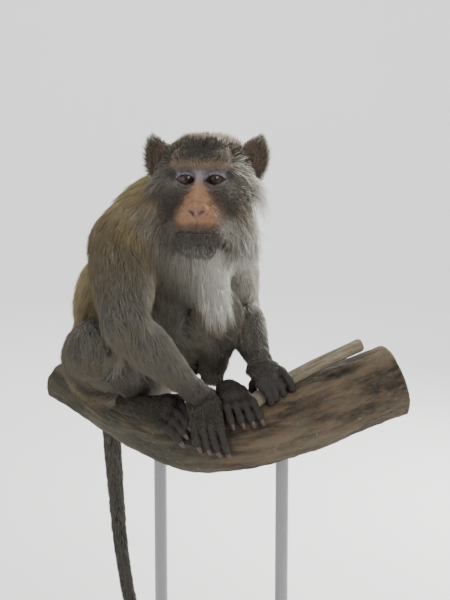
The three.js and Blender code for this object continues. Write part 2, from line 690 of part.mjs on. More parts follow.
// One lock from each start, rooted where its line meets the surface.
function locksOn(field, starts, way, lieAt, sizes) {
  return starts.flatMap((start) => {
    const root = meet(field, jog(start), way.clone().normalize());
    if (!root) return [];
    const out = gradient(field, root).normalize();
    return [lock(root, lieAt(root, out), out, sizes)];
  });
}
const jog = (p, by = 2) => shift(p, [v(random() - 0.5, random() - 0.5, random() - 0.5), 2 * by]);
const grid = (rows, columns, make) => {
  const column = (n) => (n % columns) - (columns - 1) / 2;
  return Array.from({ length: rows * columns }, (_, n) => make(Math.floor(n / columns), column(n)));
};

const faceCoat = headField();
const bodyCoat = trunkField();

// the cheek ruff stands out behind the face, and the beard hangs from the chin and jaw
const ruff = both((side) =>
  locksOn(
    faceCoat,
    grid(2, 6, (row, k) => v(side * 90, -10 - 17 * row, -16 - 11 * k + 5 * row)),
    v(-side, 0, 0),
    (root) => v(side * 0.55, -0.75, -0.42 + root.z * 0.006),
    { length: 27, half: 8.5, thick: 2.6, droop: 0.14 },
  ),
).flat();
const beard = locksOn(
  faceCoat,
  grid(2, 6, (row, k) => v(k * 9.5, 30 - Math.abs(k) * 4 - 15 * row, -110)),
  v(0, 0, 1),
  (root) => v(root.x * 0.01, -0.45, -1),
  { length: 20, half: 7.5, thick: 2.6, droop: 0.05 },
);
addLocks("head", [...ruff, ...beard].map(inHead));

// the pale bib hangs over the knees
addLocks(
  "chest",
  locksOn(
    bodyCoat,
    grid(3, 6, (row, k) => at(28 + k * 17 + row * 4, -150, 168 - 24 * row - 2 * Math.abs(k))),
    v(0, 1, 0),
    (root, out) => shift(v(0, 0, -1), [out, 0.1]),
    { length: 37, half: 10, thick: 3.2, droop: 0.1 },
  ),
);

// long hair hangs from the outer side of the left upper arm, and from the right flank over the thigh
addLocks(
  "upper_arm_left",
  locksOn(
    roundCone(ARM.left.shoulder, 40, ARM.left.elbow, 27),
    grid(3, 2, (row, k) => at(190, 44 + 22 * k + row * 12, 166 - 25 * row)),
    v(-1, 0, 0),
    (root, out) => shift(v(0, 0, -1), [out, 0.2]),
    { length: 34, half: 10, thick: 3, droop: 0.1 },
  ),
);
addLocks(
  "loin",
  locksOn(
    bodyCoat,
    grid(1, 5, (row, k) => at(-230, 38 + k * 17, 98)),
    v(1, 0, 0),
    (root, out) => shift(v(0, 0, -1), [out, 0.25]),
    { length: 40, half: 11, thick: 3.2, droop: 0.1 },
  ),
);

// ---------------------------------------------------------------- the finished group
for (const { name, piece, material } of nodes) {
  const mesh = new THREE.Mesh(shapeOf(piece), material);
  mesh.name = name;
  macaque.add(mesh);
}

export default macaque;
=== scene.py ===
# %% [markdown]
# # A seated long-tailed macaque, life-size, on a cut length of root
#
# The packed model gives the solids at their real size. This lesson dresses them: one continuous skin under a
# coat of solid tufts, wet eyes, dark nails, weathered wood, and a plain display stand.
# Lengths are in millimetres while shapes are worked out, and are turned to metres when a mesh is made.

# %% Load the frame
import math
from collections import namedtuple

import bmesh
import bpy
import numpy as np
from mathutils import Matrix, Vector, kdtree, noise


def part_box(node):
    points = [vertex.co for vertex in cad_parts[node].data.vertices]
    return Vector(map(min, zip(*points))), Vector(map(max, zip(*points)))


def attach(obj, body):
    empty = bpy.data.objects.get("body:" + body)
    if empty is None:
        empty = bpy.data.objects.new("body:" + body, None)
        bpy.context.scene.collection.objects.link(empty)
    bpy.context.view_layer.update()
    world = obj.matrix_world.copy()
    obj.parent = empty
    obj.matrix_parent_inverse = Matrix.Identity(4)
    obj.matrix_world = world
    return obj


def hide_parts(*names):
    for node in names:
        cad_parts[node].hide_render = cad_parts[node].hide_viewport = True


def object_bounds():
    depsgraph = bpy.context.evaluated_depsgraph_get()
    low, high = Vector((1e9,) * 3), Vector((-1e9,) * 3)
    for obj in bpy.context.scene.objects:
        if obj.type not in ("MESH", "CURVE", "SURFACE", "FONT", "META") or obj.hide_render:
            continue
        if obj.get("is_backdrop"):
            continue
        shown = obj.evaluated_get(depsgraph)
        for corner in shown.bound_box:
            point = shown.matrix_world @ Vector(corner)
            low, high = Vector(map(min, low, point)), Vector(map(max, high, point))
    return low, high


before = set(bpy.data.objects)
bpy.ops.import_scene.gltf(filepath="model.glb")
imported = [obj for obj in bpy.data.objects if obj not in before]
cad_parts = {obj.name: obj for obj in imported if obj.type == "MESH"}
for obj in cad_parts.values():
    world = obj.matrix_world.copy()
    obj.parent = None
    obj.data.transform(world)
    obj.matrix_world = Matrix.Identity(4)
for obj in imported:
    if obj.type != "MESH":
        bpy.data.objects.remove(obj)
cad_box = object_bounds()
MM = 0.001
print("solids", len(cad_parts), "box", [round(float(x), 3) for corner in cad_box for x in corner])

# %% [markdown]
# ## Camera
#
# A camera is easiest to place by what it looks at, how far off it is and how high it stands. The lens
# follows from the picture's height, because the sensor's width belongs to the longer side.

# %% Camera
PICTURE_HEIGHT = 600
FOCAL = 1238.1  # in pixels of a picture that high
SENSOR = 36.0
AIM, DISTANCE, ELEVATION = (50, -55, 550), 1300, 8

camera = bpy.data.objects.new("camera", bpy.data.cameras.new("camera"))
bpy.context.collection.objects.link(camera)
camera.data.lens = FOCAL * SENSOR / PICTURE_HEIGHT
camera.data.sensor_width = SENSOR
lift = math.radians(ELEVATION)
camera.location = Vector(AIM) * MM + Vector((0, -math.cos(lift), math.sin(lift))) * DISTANCE * MM
camera.rotation_euler = (math.radians(90 - ELEVATION), 0, 0)
camera.data.clip_start, camera.data.clip_end = 0.05, 50
bpy.context.scene.camera = camera
print("camera", [round(x, 3) for x in camera.location], "lens", round(camera.data.lens, 1))

# %% [markdown]
# ## A small language for shaders
#
# A material is a graph of nodes, and a formula drawn as a graph is hard to read. This class wraps one
# socket and overloads the arithmetic operators, so that a formula is written as one.

# %% Shader expressions
def plug(tree, socket, value):
    """Links a wrapped socket to an input, or sets a plain value on it."""
    if isinstance(value, Wire):
        tree.links.new(value.socket, socket)
    elif hasattr(socket.default_value, "__len__") and len(socket.default_value) == 4:
        socket.default_value = (*value, 1.0) if len(value) == 3 else value
    else:
        socket.default_value = value


class Wire:
    """One output socket. Arithmetic on it adds Math nodes."""

    def __init__(self, tree, socket):
        self.tree, self.socket = tree, socket

    def node(self, kind, inputs, settings=None, output=0):
        """Adds any node: settings are set first, then the values or links of its inputs."""
        made = self.tree.nodes.new(kind)
        for key, value in (settings or {}).items():
            if key == "stops":
                ramp = made.color_ramp.elements
                while len(ramp) < len(value):
                    ramp.new(0.5)
                for stop, (place, colour) in zip(ramp, value):
                    stop.position, stop.color = place, (*colour, 1.0)
            else:
                setattr(made, key, value)
        for key, value in inputs.items():
            plug(self.tree, made.inputs[key], value)
        return Wire(self.tree, made.outputs[output])

    def math(self, operation, a, b=0.0):
        return self.node("ShaderNodeMath", {0: a, 1: b}, {"operation": operation})

    def __add__(self, other):
        return self.math("ADD", self, other)

    def __sub__(self, other):
        return self.math("SUBTRACT", self, other)

    def __rsub__(self, other):
        return self.math("SUBTRACT", other, self)

    def __mul__(self, other):
        return self.math("MULTIPLY", self, other)

    def __truediv__(self, other):
        return self.math("DIVIDE", self, other)

    def __rtruediv__(self, other):
        return self.math("DIVIDE", other, self)

    def __pow__(self, other):
        return self.math("POWER", self, other)

    __radd__, __rmul__ = __add__, __mul__

    def between(self, low, high):
        """0 below low, 1 above high, and a smooth step between them."""
        return self.node(
            "ShaderNodeMapRange", {"Value": self, "From Min": low, "From Max": high},
            {"interpolation_type": "SMOOTHSTEP"},
        )

    def blend(self, first, second):
        """Mixes two colours by this value."""
        return self.node(
            "ShaderNodeMix", {0: self, 6: first, 7: second}, {"data_type": "RGBA"}, output=2
        )

    def scaled(self, factor):
        """A colour made lighter or darker by a value."""
        return self.node(
            "ShaderNodeVectorMath", {0: self, "Scale": factor}, {"operation": "SCALE"}
        )

    def noise(self, scale, detail=3.0, rough=0.5):
        """Noise from 0 to 1 that follows this vector; scale is in cells per unit of it."""
        inputs = {"Vector": self, "Scale": scale, "Detail": detail, "Roughness": rough}
        return self.node("ShaderNodeTexNoise", inputs)

    def bump(self, height, distance, strength=1.0):
        inputs = {"Height": height, "Distance": distance, "Strength": strength}
        return self.node("ShaderNodeBump", inputs)


print("methods of a wire", sum(callable(method) for method in vars(Wire).values()))

# %% [markdown]
# ## Materials
#
# Each finish starts from the same shader. One function makes the material, sets what is the same all over,
# and hands back a way to plug in what varies. A mesh can also give the shader a number or a colour for each
# of its points, which is how markings and the place along a hair arrive there.

# %% Materials and colours
def finish(name, **constants):
    """A material with one shader: gives it, a place wire, and a function that plugs in what varies."""
    material = bpy.data.materials.new(name)
    material.use_nodes = True
    tree = material.node_tree
    shader = tree.nodes["Principled BSDF"]
    for key, value in constants.items():
        plug(tree, shader.inputs[key.replace("_", " ")], value)
    place = Wire(tree, tree.nodes.new("ShaderNodeTexCoord").outputs["Object"])
    return material, place, lambda key, value: plug(tree, shader.inputs[key], value)


def attribute(place, name, output="Fac"):
    reader = place.tree.nodes.new("ShaderNodeAttribute")
    reader.attribute_name = name
    return Wire(place.tree, reader.outputs[output])


def rgb(code):
    """A named colour, from the usual hexadecimal form to the linear values that shaders use."""
    parts = np.array([int(code[i : i + 2], 16) / 255 for i in (1, 3, 5)])
    return np.where(parts <= 0.04045, parts / 12.92, ((parts + 0.055) / 1.055) ** 2.4)


print("middle grey in a shader's own values", round(float(rgb("#808080")[0]), 3))

# %% [markdown]
# ## Studio
#
# The backdrop is a pale floor that curves up all round, so that no horizon line shows from any side. A large
# key light from the front models the face, a broad fill from the other side keeps the coat's shadows open,
# and a strong light from behind rims the pale fur. A weak one above and one on the backdrop do the rest.

# %% Floor
def studio_floor():
    """A flat disc whose edge curves up into a low wall, turned round the middle, in metres."""
    flat, bend, wall, steps = 4.2, 1.8, 2.8, 96
    sweep = np.linspace(0, np.pi / 2, 14)[1:]
    profile = [(flat * k / 4, 0.0) for k in range(1, 5)]
    profile += [(flat + bend * math.sin(a), bend - bend * math.cos(a)) for a in sweep]
    profile.append((flat + bend, wall))
    turns = np.linspace(0, 2 * np.pi, steps, endpoint=False)
    made = bmesh.new()
    centre = made.verts.new((0, 0, 0))
    rows = [[made.verts.new((r * math.cos(t), r * math.sin(t), z)) for t in turns] for r, z in profile]
    for k in range(steps):
        m = (k + 1) % steps
        made.faces.new((centre, rows[0][k], rows[0][m]))
        for a, b in zip(rows, rows[1:]):
            made.faces.new((a[k], b[k], b[m], a[m])).smooth = True
    mesh = bpy.data.meshes.new("studio_floor")
    made.to_mesh(mesh)
    made.free()
    floor = bpy.data.objects.new("studio_floor", mesh)
    bpy.context.collection.objects.link(floor)
    material, place, plug_in = finish("floor_paint", Roughness=0.75)
    cloud = place.noise(1.5, 2.0)
    plug_in("Base Color", cloud.blend((0.84, 0.84, 0.83), (0.87, 0.87, 0.86)))
    mesh.materials.append(material)
    print("floor faces", len(mesh.polygons))
    return floor


studio_floor()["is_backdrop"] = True

# %% Lights
LIGHTS = (  # name, place and aim in metres, width, power in watts, colour
    ("key", (0.9, -1.8, 1.9), (0, 0, 0.55), 1.3, 29, (1.0, 0.98, 0.95)),
    ("fill", (-1.9, -1.3, 1.0), (0, 0, 0.5), 1.8, 10, (0.97, 0.98, 1.0)),
    ("rim", (1.25, 1.2, 1.25), (0.02, 0, 0.6), 0.6, 70, (1.0, 0.99, 0.97)),
    ("top", (-0.4, 0.5, 2.4), (0, 0, 0.6), 1.2, 16, (1.0, 1.0, 1.0)),
    ("backdrop", (0.0, 2.2, 3.4), (0.0, 5.5, 0.6), 3.0, 170, (1.0, 1.0, 1.0)),
)
SKY_COLOUR, SKY_STRENGTH = (0.95, 0.96, 0.97, 1), 0.75


def area_light(name, place, aim, size, power, colour):
    data = bpy.data.lights.new(name, "AREA")
    data.shape, data.size, data.energy, data.color = "DISK", size, power, colour
    lamp = bpy.data.objects.new(name, data)
    bpy.context.collection.objects.link(lamp)
    lamp.location = place
    lamp.rotation_euler = (Vector(aim) - Vector(place)).to_track_quat("-Z", "Y").to_euler()


for light in LIGHTS:
    area_light(*light)
world = bpy.data.worlds.new("studio")
world.use_nodes = True
sky = world.node_tree.nodes["Background"].inputs
sky["Color"].default_value, sky["Strength"].default_value = SKY_COLOUR, SKY_STRENGTH
bpy.context.scene.world = world
print("lights", len(LIGHTS))

# %% [markdown]
# ## Fields
#
# An animal's body is made of rounded masses that flow into each other. A field gives the distance to such a
# mass for any point, below zero inside, and a smooth minimum of several fields joins them with a soft
# crease, as skin does over muscle. The same landmarks as in the solids are used, without the coat's depth.

# %% Field helpers
def vec(*values):
    return np.array(values, np.float32)


def unit(a):
    return a / np.maximum(np.linalg.norm(a, axis=-1, keepdims=True), 1e-9)


def step(low, high, value):
    """A smooth step from 0 at low to 1 at high; low may be the larger one."""
    t = np.clip((value - low) / (high - low), 0, 1)
    return t * t * (3 - 2 * t)


def ramp(stops):
    """A size that eases from stop to stop along a form: each stop is (share of the length, size)."""
    def size(t):
        t = np.asarray(t, np.float32)
        made = np.full(t.shape, stops[0][1], np.float32)
        for (a, low), (b, high) in zip(stops, stops[1:]):
            made += (high - low) * step(a, b, t)
        return made
    return size


def ball(centre, radius):
    return lambda p: np.linalg.norm(p - vec(*centre), axis=1) - radius


def ellipsoid(centre, radii):
    def field(p):
        q = (p - vec(*centre)) / vec(*radii)
        k = np.linalg.norm(q, axis=1)
        g = np.linalg.norm(q / vec(*radii), axis=1)
        return k * (k - 1) / np.maximum(g, 1e-6)
    return field


def limb(start, end, size):
    """A straight bone whose radius follows a ramp."""
    a, axis = vec(*start), vec(*end) - vec(*start)
    def field(p):
        t = np.clip((p - a) @ axis / (axis @ axis), 0, 1)
        return np.linalg.norm(p - a - t[:, None] * axis, axis=1) - size(t)
    return field


def cone(start, first, end, last):
    """A straight bone that goes evenly from one radius to another."""
    a, axis = vec(*start), vec(*end) - vec(*start)
    def field(p):
        t = np.clip((p - a) @ axis / (axis @ axis), 0, 1)
        return np.linalg.norm(p - a - t[:, None] * axis, axis=1) - first - (last - first) * t
    return field


def smooth_min(a, b, k):
    """The smaller of two distances, rounded where they are within k of each other."""
    h = np.maximum(k - np.abs(a - b), 0) / k
    return np.minimum(a, b) - h * h * k / 4


def blend(k, *fields):
    """Masses that flow into each other."""
    def field(p):
        d = fields[0](p)
        for other in fields[1:]:
            d = smooth_min(d, other(p), k)
        return d
    return field


def carve(k, field, *tools):
    """A mass with others cut out of it, and a soft edge to each cut."""
    def carved(p):
        d = field(p)
        for tool in tools:
            d = -smooth_min(-d, tool(p), k)
        return d
    return carved


def gradient(field, p, e=0.5):
    made = np.empty_like(p)
    for axis in range(3):
        nudge = np.zeros(3, np.float32)
        nudge[axis] = e
        made[:, axis] = (field(p + nudge) - field(p - nudge)) / (2 * e)
    return made


def onto(field, p, rounds=2, limit=None, e=0.5):
    """Moves points onto a field's surface by Newton's steps."""
    for _ in range(rounds):
        g = gradient(field, p, e)
        move = -(field(p) / np.maximum((g * g).sum(1), 0.2))[:, None] * g
        if limit:
            far = np.linalg.norm(move, axis=1, keepdims=True)
            move *= np.minimum(1, limit / np.maximum(far, 1e-6))
        p = p + move
    return p


from_25_mm = ball((0, 0, 0), 10)(vec(25, 0, 0)[None])
print("a ball of 10 mm radius, from 25 mm off, is", float(from_25_mm[0]), "mm away")

# %% [markdown]
# ## Curves
#
# Limbs, tail, digits and wood follow curves. A Catmull-Rom curve passes through each of its points, so a few
# chosen places are enough, and its centripetal form makes no loops where they lie unevenly. The solids use
# the same kind, so both agree.

# %% Curves
def along_curve(points, shares):
    """Places on a centripetal Catmull-Rom curve through the points, as the solids use."""
    pts = np.array(points, float)
    pts = np.vstack([2 * pts[0] - pts[1], pts, 2 * pts[-1] - pts[-2]])
    last = len(pts) - 3
    t = np.clip(np.atleast_1d(shares), 0, 1) * last
    i = np.minimum(t.astype(int), last - 1)
    w = (t - i)[:, None]
    p0, p1, p2, p3 = pts[i], pts[i + 1], pts[i + 2], pts[i + 3]
    d0, d1, d2 = (np.linalg.norm(b - a, axis=1)[:, None] ** 0.5 for a, b in ((p0, p1), (p1, p2), (p2, p3)))
    t1 = ((p1 - p0) / d0 - (p2 - p0) / (d0 + d1) + (p2 - p1) / d1) * d1
    t2 = ((p2 - p1) / d1 - (p3 - p1) / (d1 + d2) + (p3 - p2) / d2) * d1
    return p1 + t1 * w + (3 * (p2 - p1) - 2 * t1 - t2) * w**2 + (2 * (p1 - p2) + t1 + t2) * w**3


def tangents(points, shares, nudge=1e-4):
    shares = np.atleast_1d(shares)
    after, before = np.minimum(shares + nudge, 1), np.maximum(shares - nudge, 0)
    return unit(along_curve(points, after) - along_curve(points, before))


def tube(points, radius, pieces=10):
    """A field of short cones along a curve."""
    shares = np.linspace(0, 1, pieces + 1)
    places, sizes = along_curve(points, shares), radius(shares)
    parts = [cone(places[i], sizes[i], places[i + 1], sizes[i + 1]) for i in range(pieces)]
    return lambda p: np.minimum.reduce([part(p) for part in parts])


print("the middle of a bend", along_curve([(0, 0, 0), (10, 0, 0), (10, 10, 0)], 0.5)[0])

# %% [markdown]
# ## Landmarks of the pose
#
# The pose is the places of a few joints, measured from a point on top of the root, as in the solids. The
# body is turned towards the animal's left and the head nearly faces the viewer, so each has its own
# directions.

# %% Joints, tail and wood
PERCH_TOP = 440
BODY_YAW, HEAD_YAW = math.radians(32), math.radians(6)


def at(x, y, z):
    return vec(x, y, z + PERCH_TOP)


ahead = vec(math.sin(BODY_YAW), -math.cos(BODY_YAW), 0)
rightward = vec(-math.cos(BODY_YAW), -math.sin(BODY_YAW), 0)
up = vec(0, 0, 1)
HIPS, SHOULDERS, EYES = at(-66, 67, 28), at(-10, 5, 174), at(26, -77, 237)
spine = unit(SHOULDERS - HIPS)
ARM = {
    "right": {"shoulder": at(-59, -24, 168), "elbow": at(-52, -99, 92), "wrist": at(16, -78, 20)},
    "left": {"shoulder": at(46, 33, 166), "elbow": at(64, 80, 84), "wrist": at(88, -16, 38)},
}
LEG = {
    "right": {"hip": at(-86, 50, 28), "knee": at(-85, -77, 60), "ankle": at(-46, -12, 8)},
    "left": {"hip": at(-32, 86, 28), "knee": at(40, -21, 90), "ankle": at(36, 18, 18)},
}
TAIL = [
    at(-84, 100, 26), at(-90, 128, 8), at(-92, 150, -40), at(-88, 156, -130),
    at(-80, 152, -230), at(-64, 142, -318), at(-40, 130, -368), at(-6, 122, -384),
]
PERCH = [
    at(-150, 136, -14), at(-100, 95, -34), at(-48, 25, -42), at(5, -29, -44),
    at(60, -45, -38), at(120, -33, -24), at(185, -11, -4), at(236, 4, 12),
]
TWIG = [at(72, -70, -2), at(100, -50, 13), at(150, -30, 36), at(198, -12, 55)]
perch_radius = ramp([(0, 25), (0.14, 25), (0.32, 31), (0.5, 39), (0.66, 41), (0.85, 41), (1, 42)])
twig_radius = ramp([(0, 8.5), (1, 7.5)])
print("spine length", round(float(np.linalg.norm(SHOULDERS - HIPS))), "mm")

# %% [markdown]
# ## From a field to a mesh
#
# A surface net walks a grid, puts one point in each cell that the surface crosses, and joins the points of
# neighbouring cells into four-sided faces. The points are then moved onto the exact surface. Cells far from
# the surface are skipped: a coarse look first tells which blocks of the grid matter.

# %% Surface nets
BLOCK = 6  # cells along each side of a block
FAR = 1e3  # stands for any distance that isn't worked out


def net(field, low, high, cell):
    """The surface of a field inside a box, as points and four-sided faces."""
    low, high = vec(*low), vec(*high)
    blocks = np.ceil((high - low) / cell / BLOCK).astype(int)
    centres = np.stack(np.meshgrid(*[np.arange(n) for n in blocks], indexing="ij"), -1).reshape(-1, 3)
    middle = field((low + (centres + 0.5) * BLOCK * cell).astype(np.float32)).reshape(blocks)
    near = np.abs(middle) < BLOCK * cell * 1.25
    shape = blocks * BLOCK + 1
    value = np.full(shape, FAR, np.float32)
    inside = np.repeat(np.repeat(np.repeat(middle < 0, BLOCK, 0), BLOCK, 1), BLOCK, 2)
    value[:-1, :-1, :-1][inside] = -FAR
    active = np.zeros(shape, bool)
    for i, j, k in np.argwhere(near) * BLOCK:
        active[i : i + BLOCK + 1, j : j + BLOCK + 1, k : k + BLOCK + 1] = True
    where = np.argwhere(active)
    for chunk in np.array_split(where, max(1, len(where) // 400_000)):
        value[tuple(chunk.T)] = field((low + chunk * cell).astype(np.float32))

    flat, grid = value.ravel(), np.arange(value.size).reshape(shape)
    stride = (int(shape[1] * shape[2]), int(shape[2]), 1)
    cells, places, quads = [], [], []
    for axis in range(3):
        first = np.take(grid, range(shape[axis] - 1), axis).ravel()
        first = first[(flat[first] < 0) != (flat[first + stride[axis]] < 0)]
        a, b = flat[first], flat[first + stride[axis]]
        place = np.stack(np.unravel_index(first, shape), 1).astype(float)
        place[:, axis] += np.clip(a / (a - b), 0.02, 0.98)
        u, w = stride[(axis + 1) % 3], stride[(axis + 2) % 3]
        around = np.stack([first, first - u, first - u - w, first - w], 1)
        quads.append(np.where((a < 0)[:, None], around, around[:, ::-1]))
        cells.append(around.ravel())
        places.append(np.repeat(place, 4, 0))
    ids, index = np.unique(np.concatenate(cells), return_inverse=True)
    places = np.concatenate(places)
    count = np.bincount(index)
    points = np.stack([np.bincount(index, places[:, i]) / count for i in range(3)], 1)
    points = (low + points * cell).astype(np.float32)
    points = onto(field, points, 2, cell * 0.6, cell * 0.35)
    return points, np.searchsorted(ids, np.concatenate(quads))


test_points, test_faces = net(ball((0, 0, 0), 10), (-12, -12, -12), (12, 12, 12), 2)
worst = float(np.abs(np.linalg.norm(test_points, axis=1) - 10).max())
print("a ball of 10 mm as a net:", len(test_faces), "faces, off by", round(worst, 3), "mm at most")

# %% From arrays to objects
def mesh_object(name, points, faces, material, smooth=True):
    """Makes an object from millimetre points and equal-sided faces."""
    mesh = bpy.data.meshes.new(name)
    sides = faces.shape[1]
    mesh.vertices.add(len(points))
    mesh.vertices.foreach_set("co", (np.asarray(points, np.float32) * MM).ravel())
    mesh.loops.add(faces.size)
    mesh.loops.foreach_set("vertex_index", faces.astype(np.int32).ravel())
    mesh.polygons.add(len(faces))
    mesh.polygons.foreach_set("loop_start", np.arange(0, faces.size, sides, dtype=np.int32))
    if smooth:
        mesh.polygons.foreach_set("use_smooth", np.ones(len(faces), bool))
    mesh.update(calc_edges=True)
    mesh.materials.append(material)
    made = bpy.data.objects.new(name, mesh)
    bpy.context.collection.objects.link(made)
    return made


def give(made, name, values):
    """Stores a number or a colour for each point of a mesh."""
    kind = "FLOAT" if values.ndim == 1 else "FLOAT_COLOR"
    if values.ndim == 2:
        values = np.hstack([values, np.ones((len(values), 1))])
    layer = made.data.attributes.new(name, kind, "POINT")
    layer.data.foreach_set("value" if kind == "FLOAT" else "color", values.astype(np.float32).ravel())


def close_and_turn(made):
    """Joins doubled points and turns every face outward."""
    tidy = bmesh.new()
    tidy.from_mesh(made.data)
    bmesh.ops.remove_doubles(tidy, verts=tidy.verts, dist=1e-6)
    bmesh.ops.recalc_face_normals(tidy, faces=tidy.faces)
    tidy.to_mesh(made.data)
    tidy.free()


print("a mesh counts in metres, so a millimetre is", MM)

# %% [markdown]
# ## Head
#
# The head has a frame of its own: x to the animal's left, y out of the face, z up, and its origin midway
# between the eyes. Brow, cheeks, muzzle, nose and jaws are separate masses. Lids are shells round the
# eyeballs that an almond-shaped opening is cut from.

# %% Head frame
cosine, sine = math.cos(HEAD_YAW), math.sin(HEAD_YAW)
HEAD_AXES = np.array([(cosine, -sine, 0), (-sine, -cosine, 0), (0, 0, 1)], np.float32)
EYE = {"apart": 14.6, "depth": -0.2, "radius": 10.8, "lid": 1.2, "half": 9.4, "top": 5.0, "low": 4.3}


def to_head(p):
    return (p - EYES) @ HEAD_AXES.T


def from_head(q):
    return q @ HEAD_AXES + EYES


def both(make):
    """What a function makes for the animal's right side and for its left."""
    return [make(-1), make(1)]


camera_place = np.array(camera.location) / MM
print("the camera in the head's frame", [round(float(c)) for c in to_head(camera_place)])

# %% Masses of the head
def skull_field():
    skull = ellipsoid((0, -36, 4), (37, 47, 36.5))
    brow = cone((-18, 5, 15), 8.5, (18, 5, 15), 8.5)
    cheeks = both(lambda s: cone((s * 20, 6, -13), 11, (s * 33, -16, -10), 10))
    chewing = both(lambda s: cone((s * 25, -6, -24), 13, (s * 25, -22, -38), 13))
    mid_face = cone((0, 4, -8), 16, (0, 22, -34), 18)
    muzzle = both(lambda s: cone((s * 9, 8, -36), 17, (s * 8.5, 29, -42), 14.5))
    nose = cone((0, 12, -1), 6, (0, 36, -26), 6.5)
    wings = both(lambda s: ball((s * 5, 38, -28), 4.6))
    chin = cone((-7, 26, -58), 11.5, (7, 26, -58), 11.5)
    jaws = both(lambda s: cone((s * 12, 20, -53), 11.5, (s * 26, -20, -42), 13))
    throat = cone((0, 2, -46), 20, (0, -38, -30), 34)
    bulk = blend(10, skull, brow, *cheeks, *chewing, mid_face, *jaws, throat, chin)
    whole = blend(3, blend(6, bulk, *muzzle, nose), *wings)
    sockets = both(lambda s: ball((s * 16, 16, 1), 11))
    return carve(5, whole, *sockets)


print("between the eyes the skull is", round(float(skull_field()(vec(0, 0, 0)[None])[0]), 1), "mm deep")

# %% [markdown]
# ## Lids, lips and folds
#
# What gives a face its look is small: the almond between the lids, the line of the mouth, the nostrils and
# a few folds. Each is a thin tube drawn over the front of the skull, from a path that gives only x and z,
# and is then blended on or carved out. The fine field is used only in a box round the face, to save time.

# %% Openings
MOUTH_HALF = 23


def slit(side, x, z):
    """The opening between the lids, drawn on the flat: below zero inside it."""
    x = (x - side * EYE["apart"]) * side / EYE["half"]
    x = np.where(x < 0, x * 1.1, x)
    arch = np.maximum(1 - x * x, 0)
    top = EYE["top"] * arch**0.75 + 0.5 * x
    low = -EYE["low"] * arch**0.85 + 0.5 * x
    return np.maximum(np.maximum(z - top, low - z), (np.abs(x) - 1) * 6)


def almond(side):
    """What is cut from the lids: deep over the eyeball, shallow at the inner corner."""
    def field(p):
        inward = (EYE["apart"] - p[:, 0] * side) / EYE["half"]
        floor = EYE["depth"] + 2 + 4.4 * step(0.5, 0.85, inward)
        return np.maximum(slit(side, p[:, 0], p[:, 2]), floor - p[:, 1])
    return field


def front_of(field, x, z):
    """The depth at which a line from the front first meets a field, for each x and z."""
    x, z = np.atleast_1d(x).astype(np.float32), np.atleast_1d(z).astype(np.float32)
    y = np.full(x.shape, 75, np.float32)
    for _ in range(60):
        y -= np.maximum(field(np.stack([x, y, z], 1)), 0) * 0.8
    return y


def drawn(field, path, radius, sink=0.0, count=9):
    """A tube that follows the front of a field; the path gives x and z."""
    flat = along_curve([(x, 0, z) for x, z in path], np.linspace(0, 1, count))
    depth = front_of(field, flat[:, 0], flat[:, 2]) - sink
    return tube(np.stack([flat[:, 0], depth, flat[:, 2]], 1), ramp(radius), count + 3)


def mouth_line(t):
    """The line between the lips, from -1 at one corner to 1 at the other."""
    return t * MOUTH_HALF, -50.6 + 1.0 * t * t - 2.0 * t**4


print("the opening of the lids is", EYE["top"] + EYE["low"], "mm high and", 2 * EYE["half"], "mm wide")

# %% Face
def ends(small, big):
    """A ramp that is thickest in its middle."""
    return [(0, small), (0.5, big), (1, small)]


def only_near(low, high, fine, rough):
    """Uses the fine field inside a box and the rough one outside it."""
    low, high = vec(*low), vec(*high)

    def field(p):
        d = rough(p)
        inside = np.all((p > low) & (p < high), 1)
        if inside.any():
            d[inside] = fine(p[inside])
        return d
    return field


FOLDS = (  # path, least and greatest radius: over the eye, under it, by the nose, between the brows
    ([(6, 5.5), (15, 9.2), (26, 4)], 0.5, 0.9),
    ([(6, -9), (13, -13.5), (25, -10)], 0.5, 0.8),
    ([(9, -21), (17, -29), (23, -42)], 0.4, 0.9),
    ([(2.2, 15), (2.8, 9), (4.5, 4)], 0.4, 0.8),
)


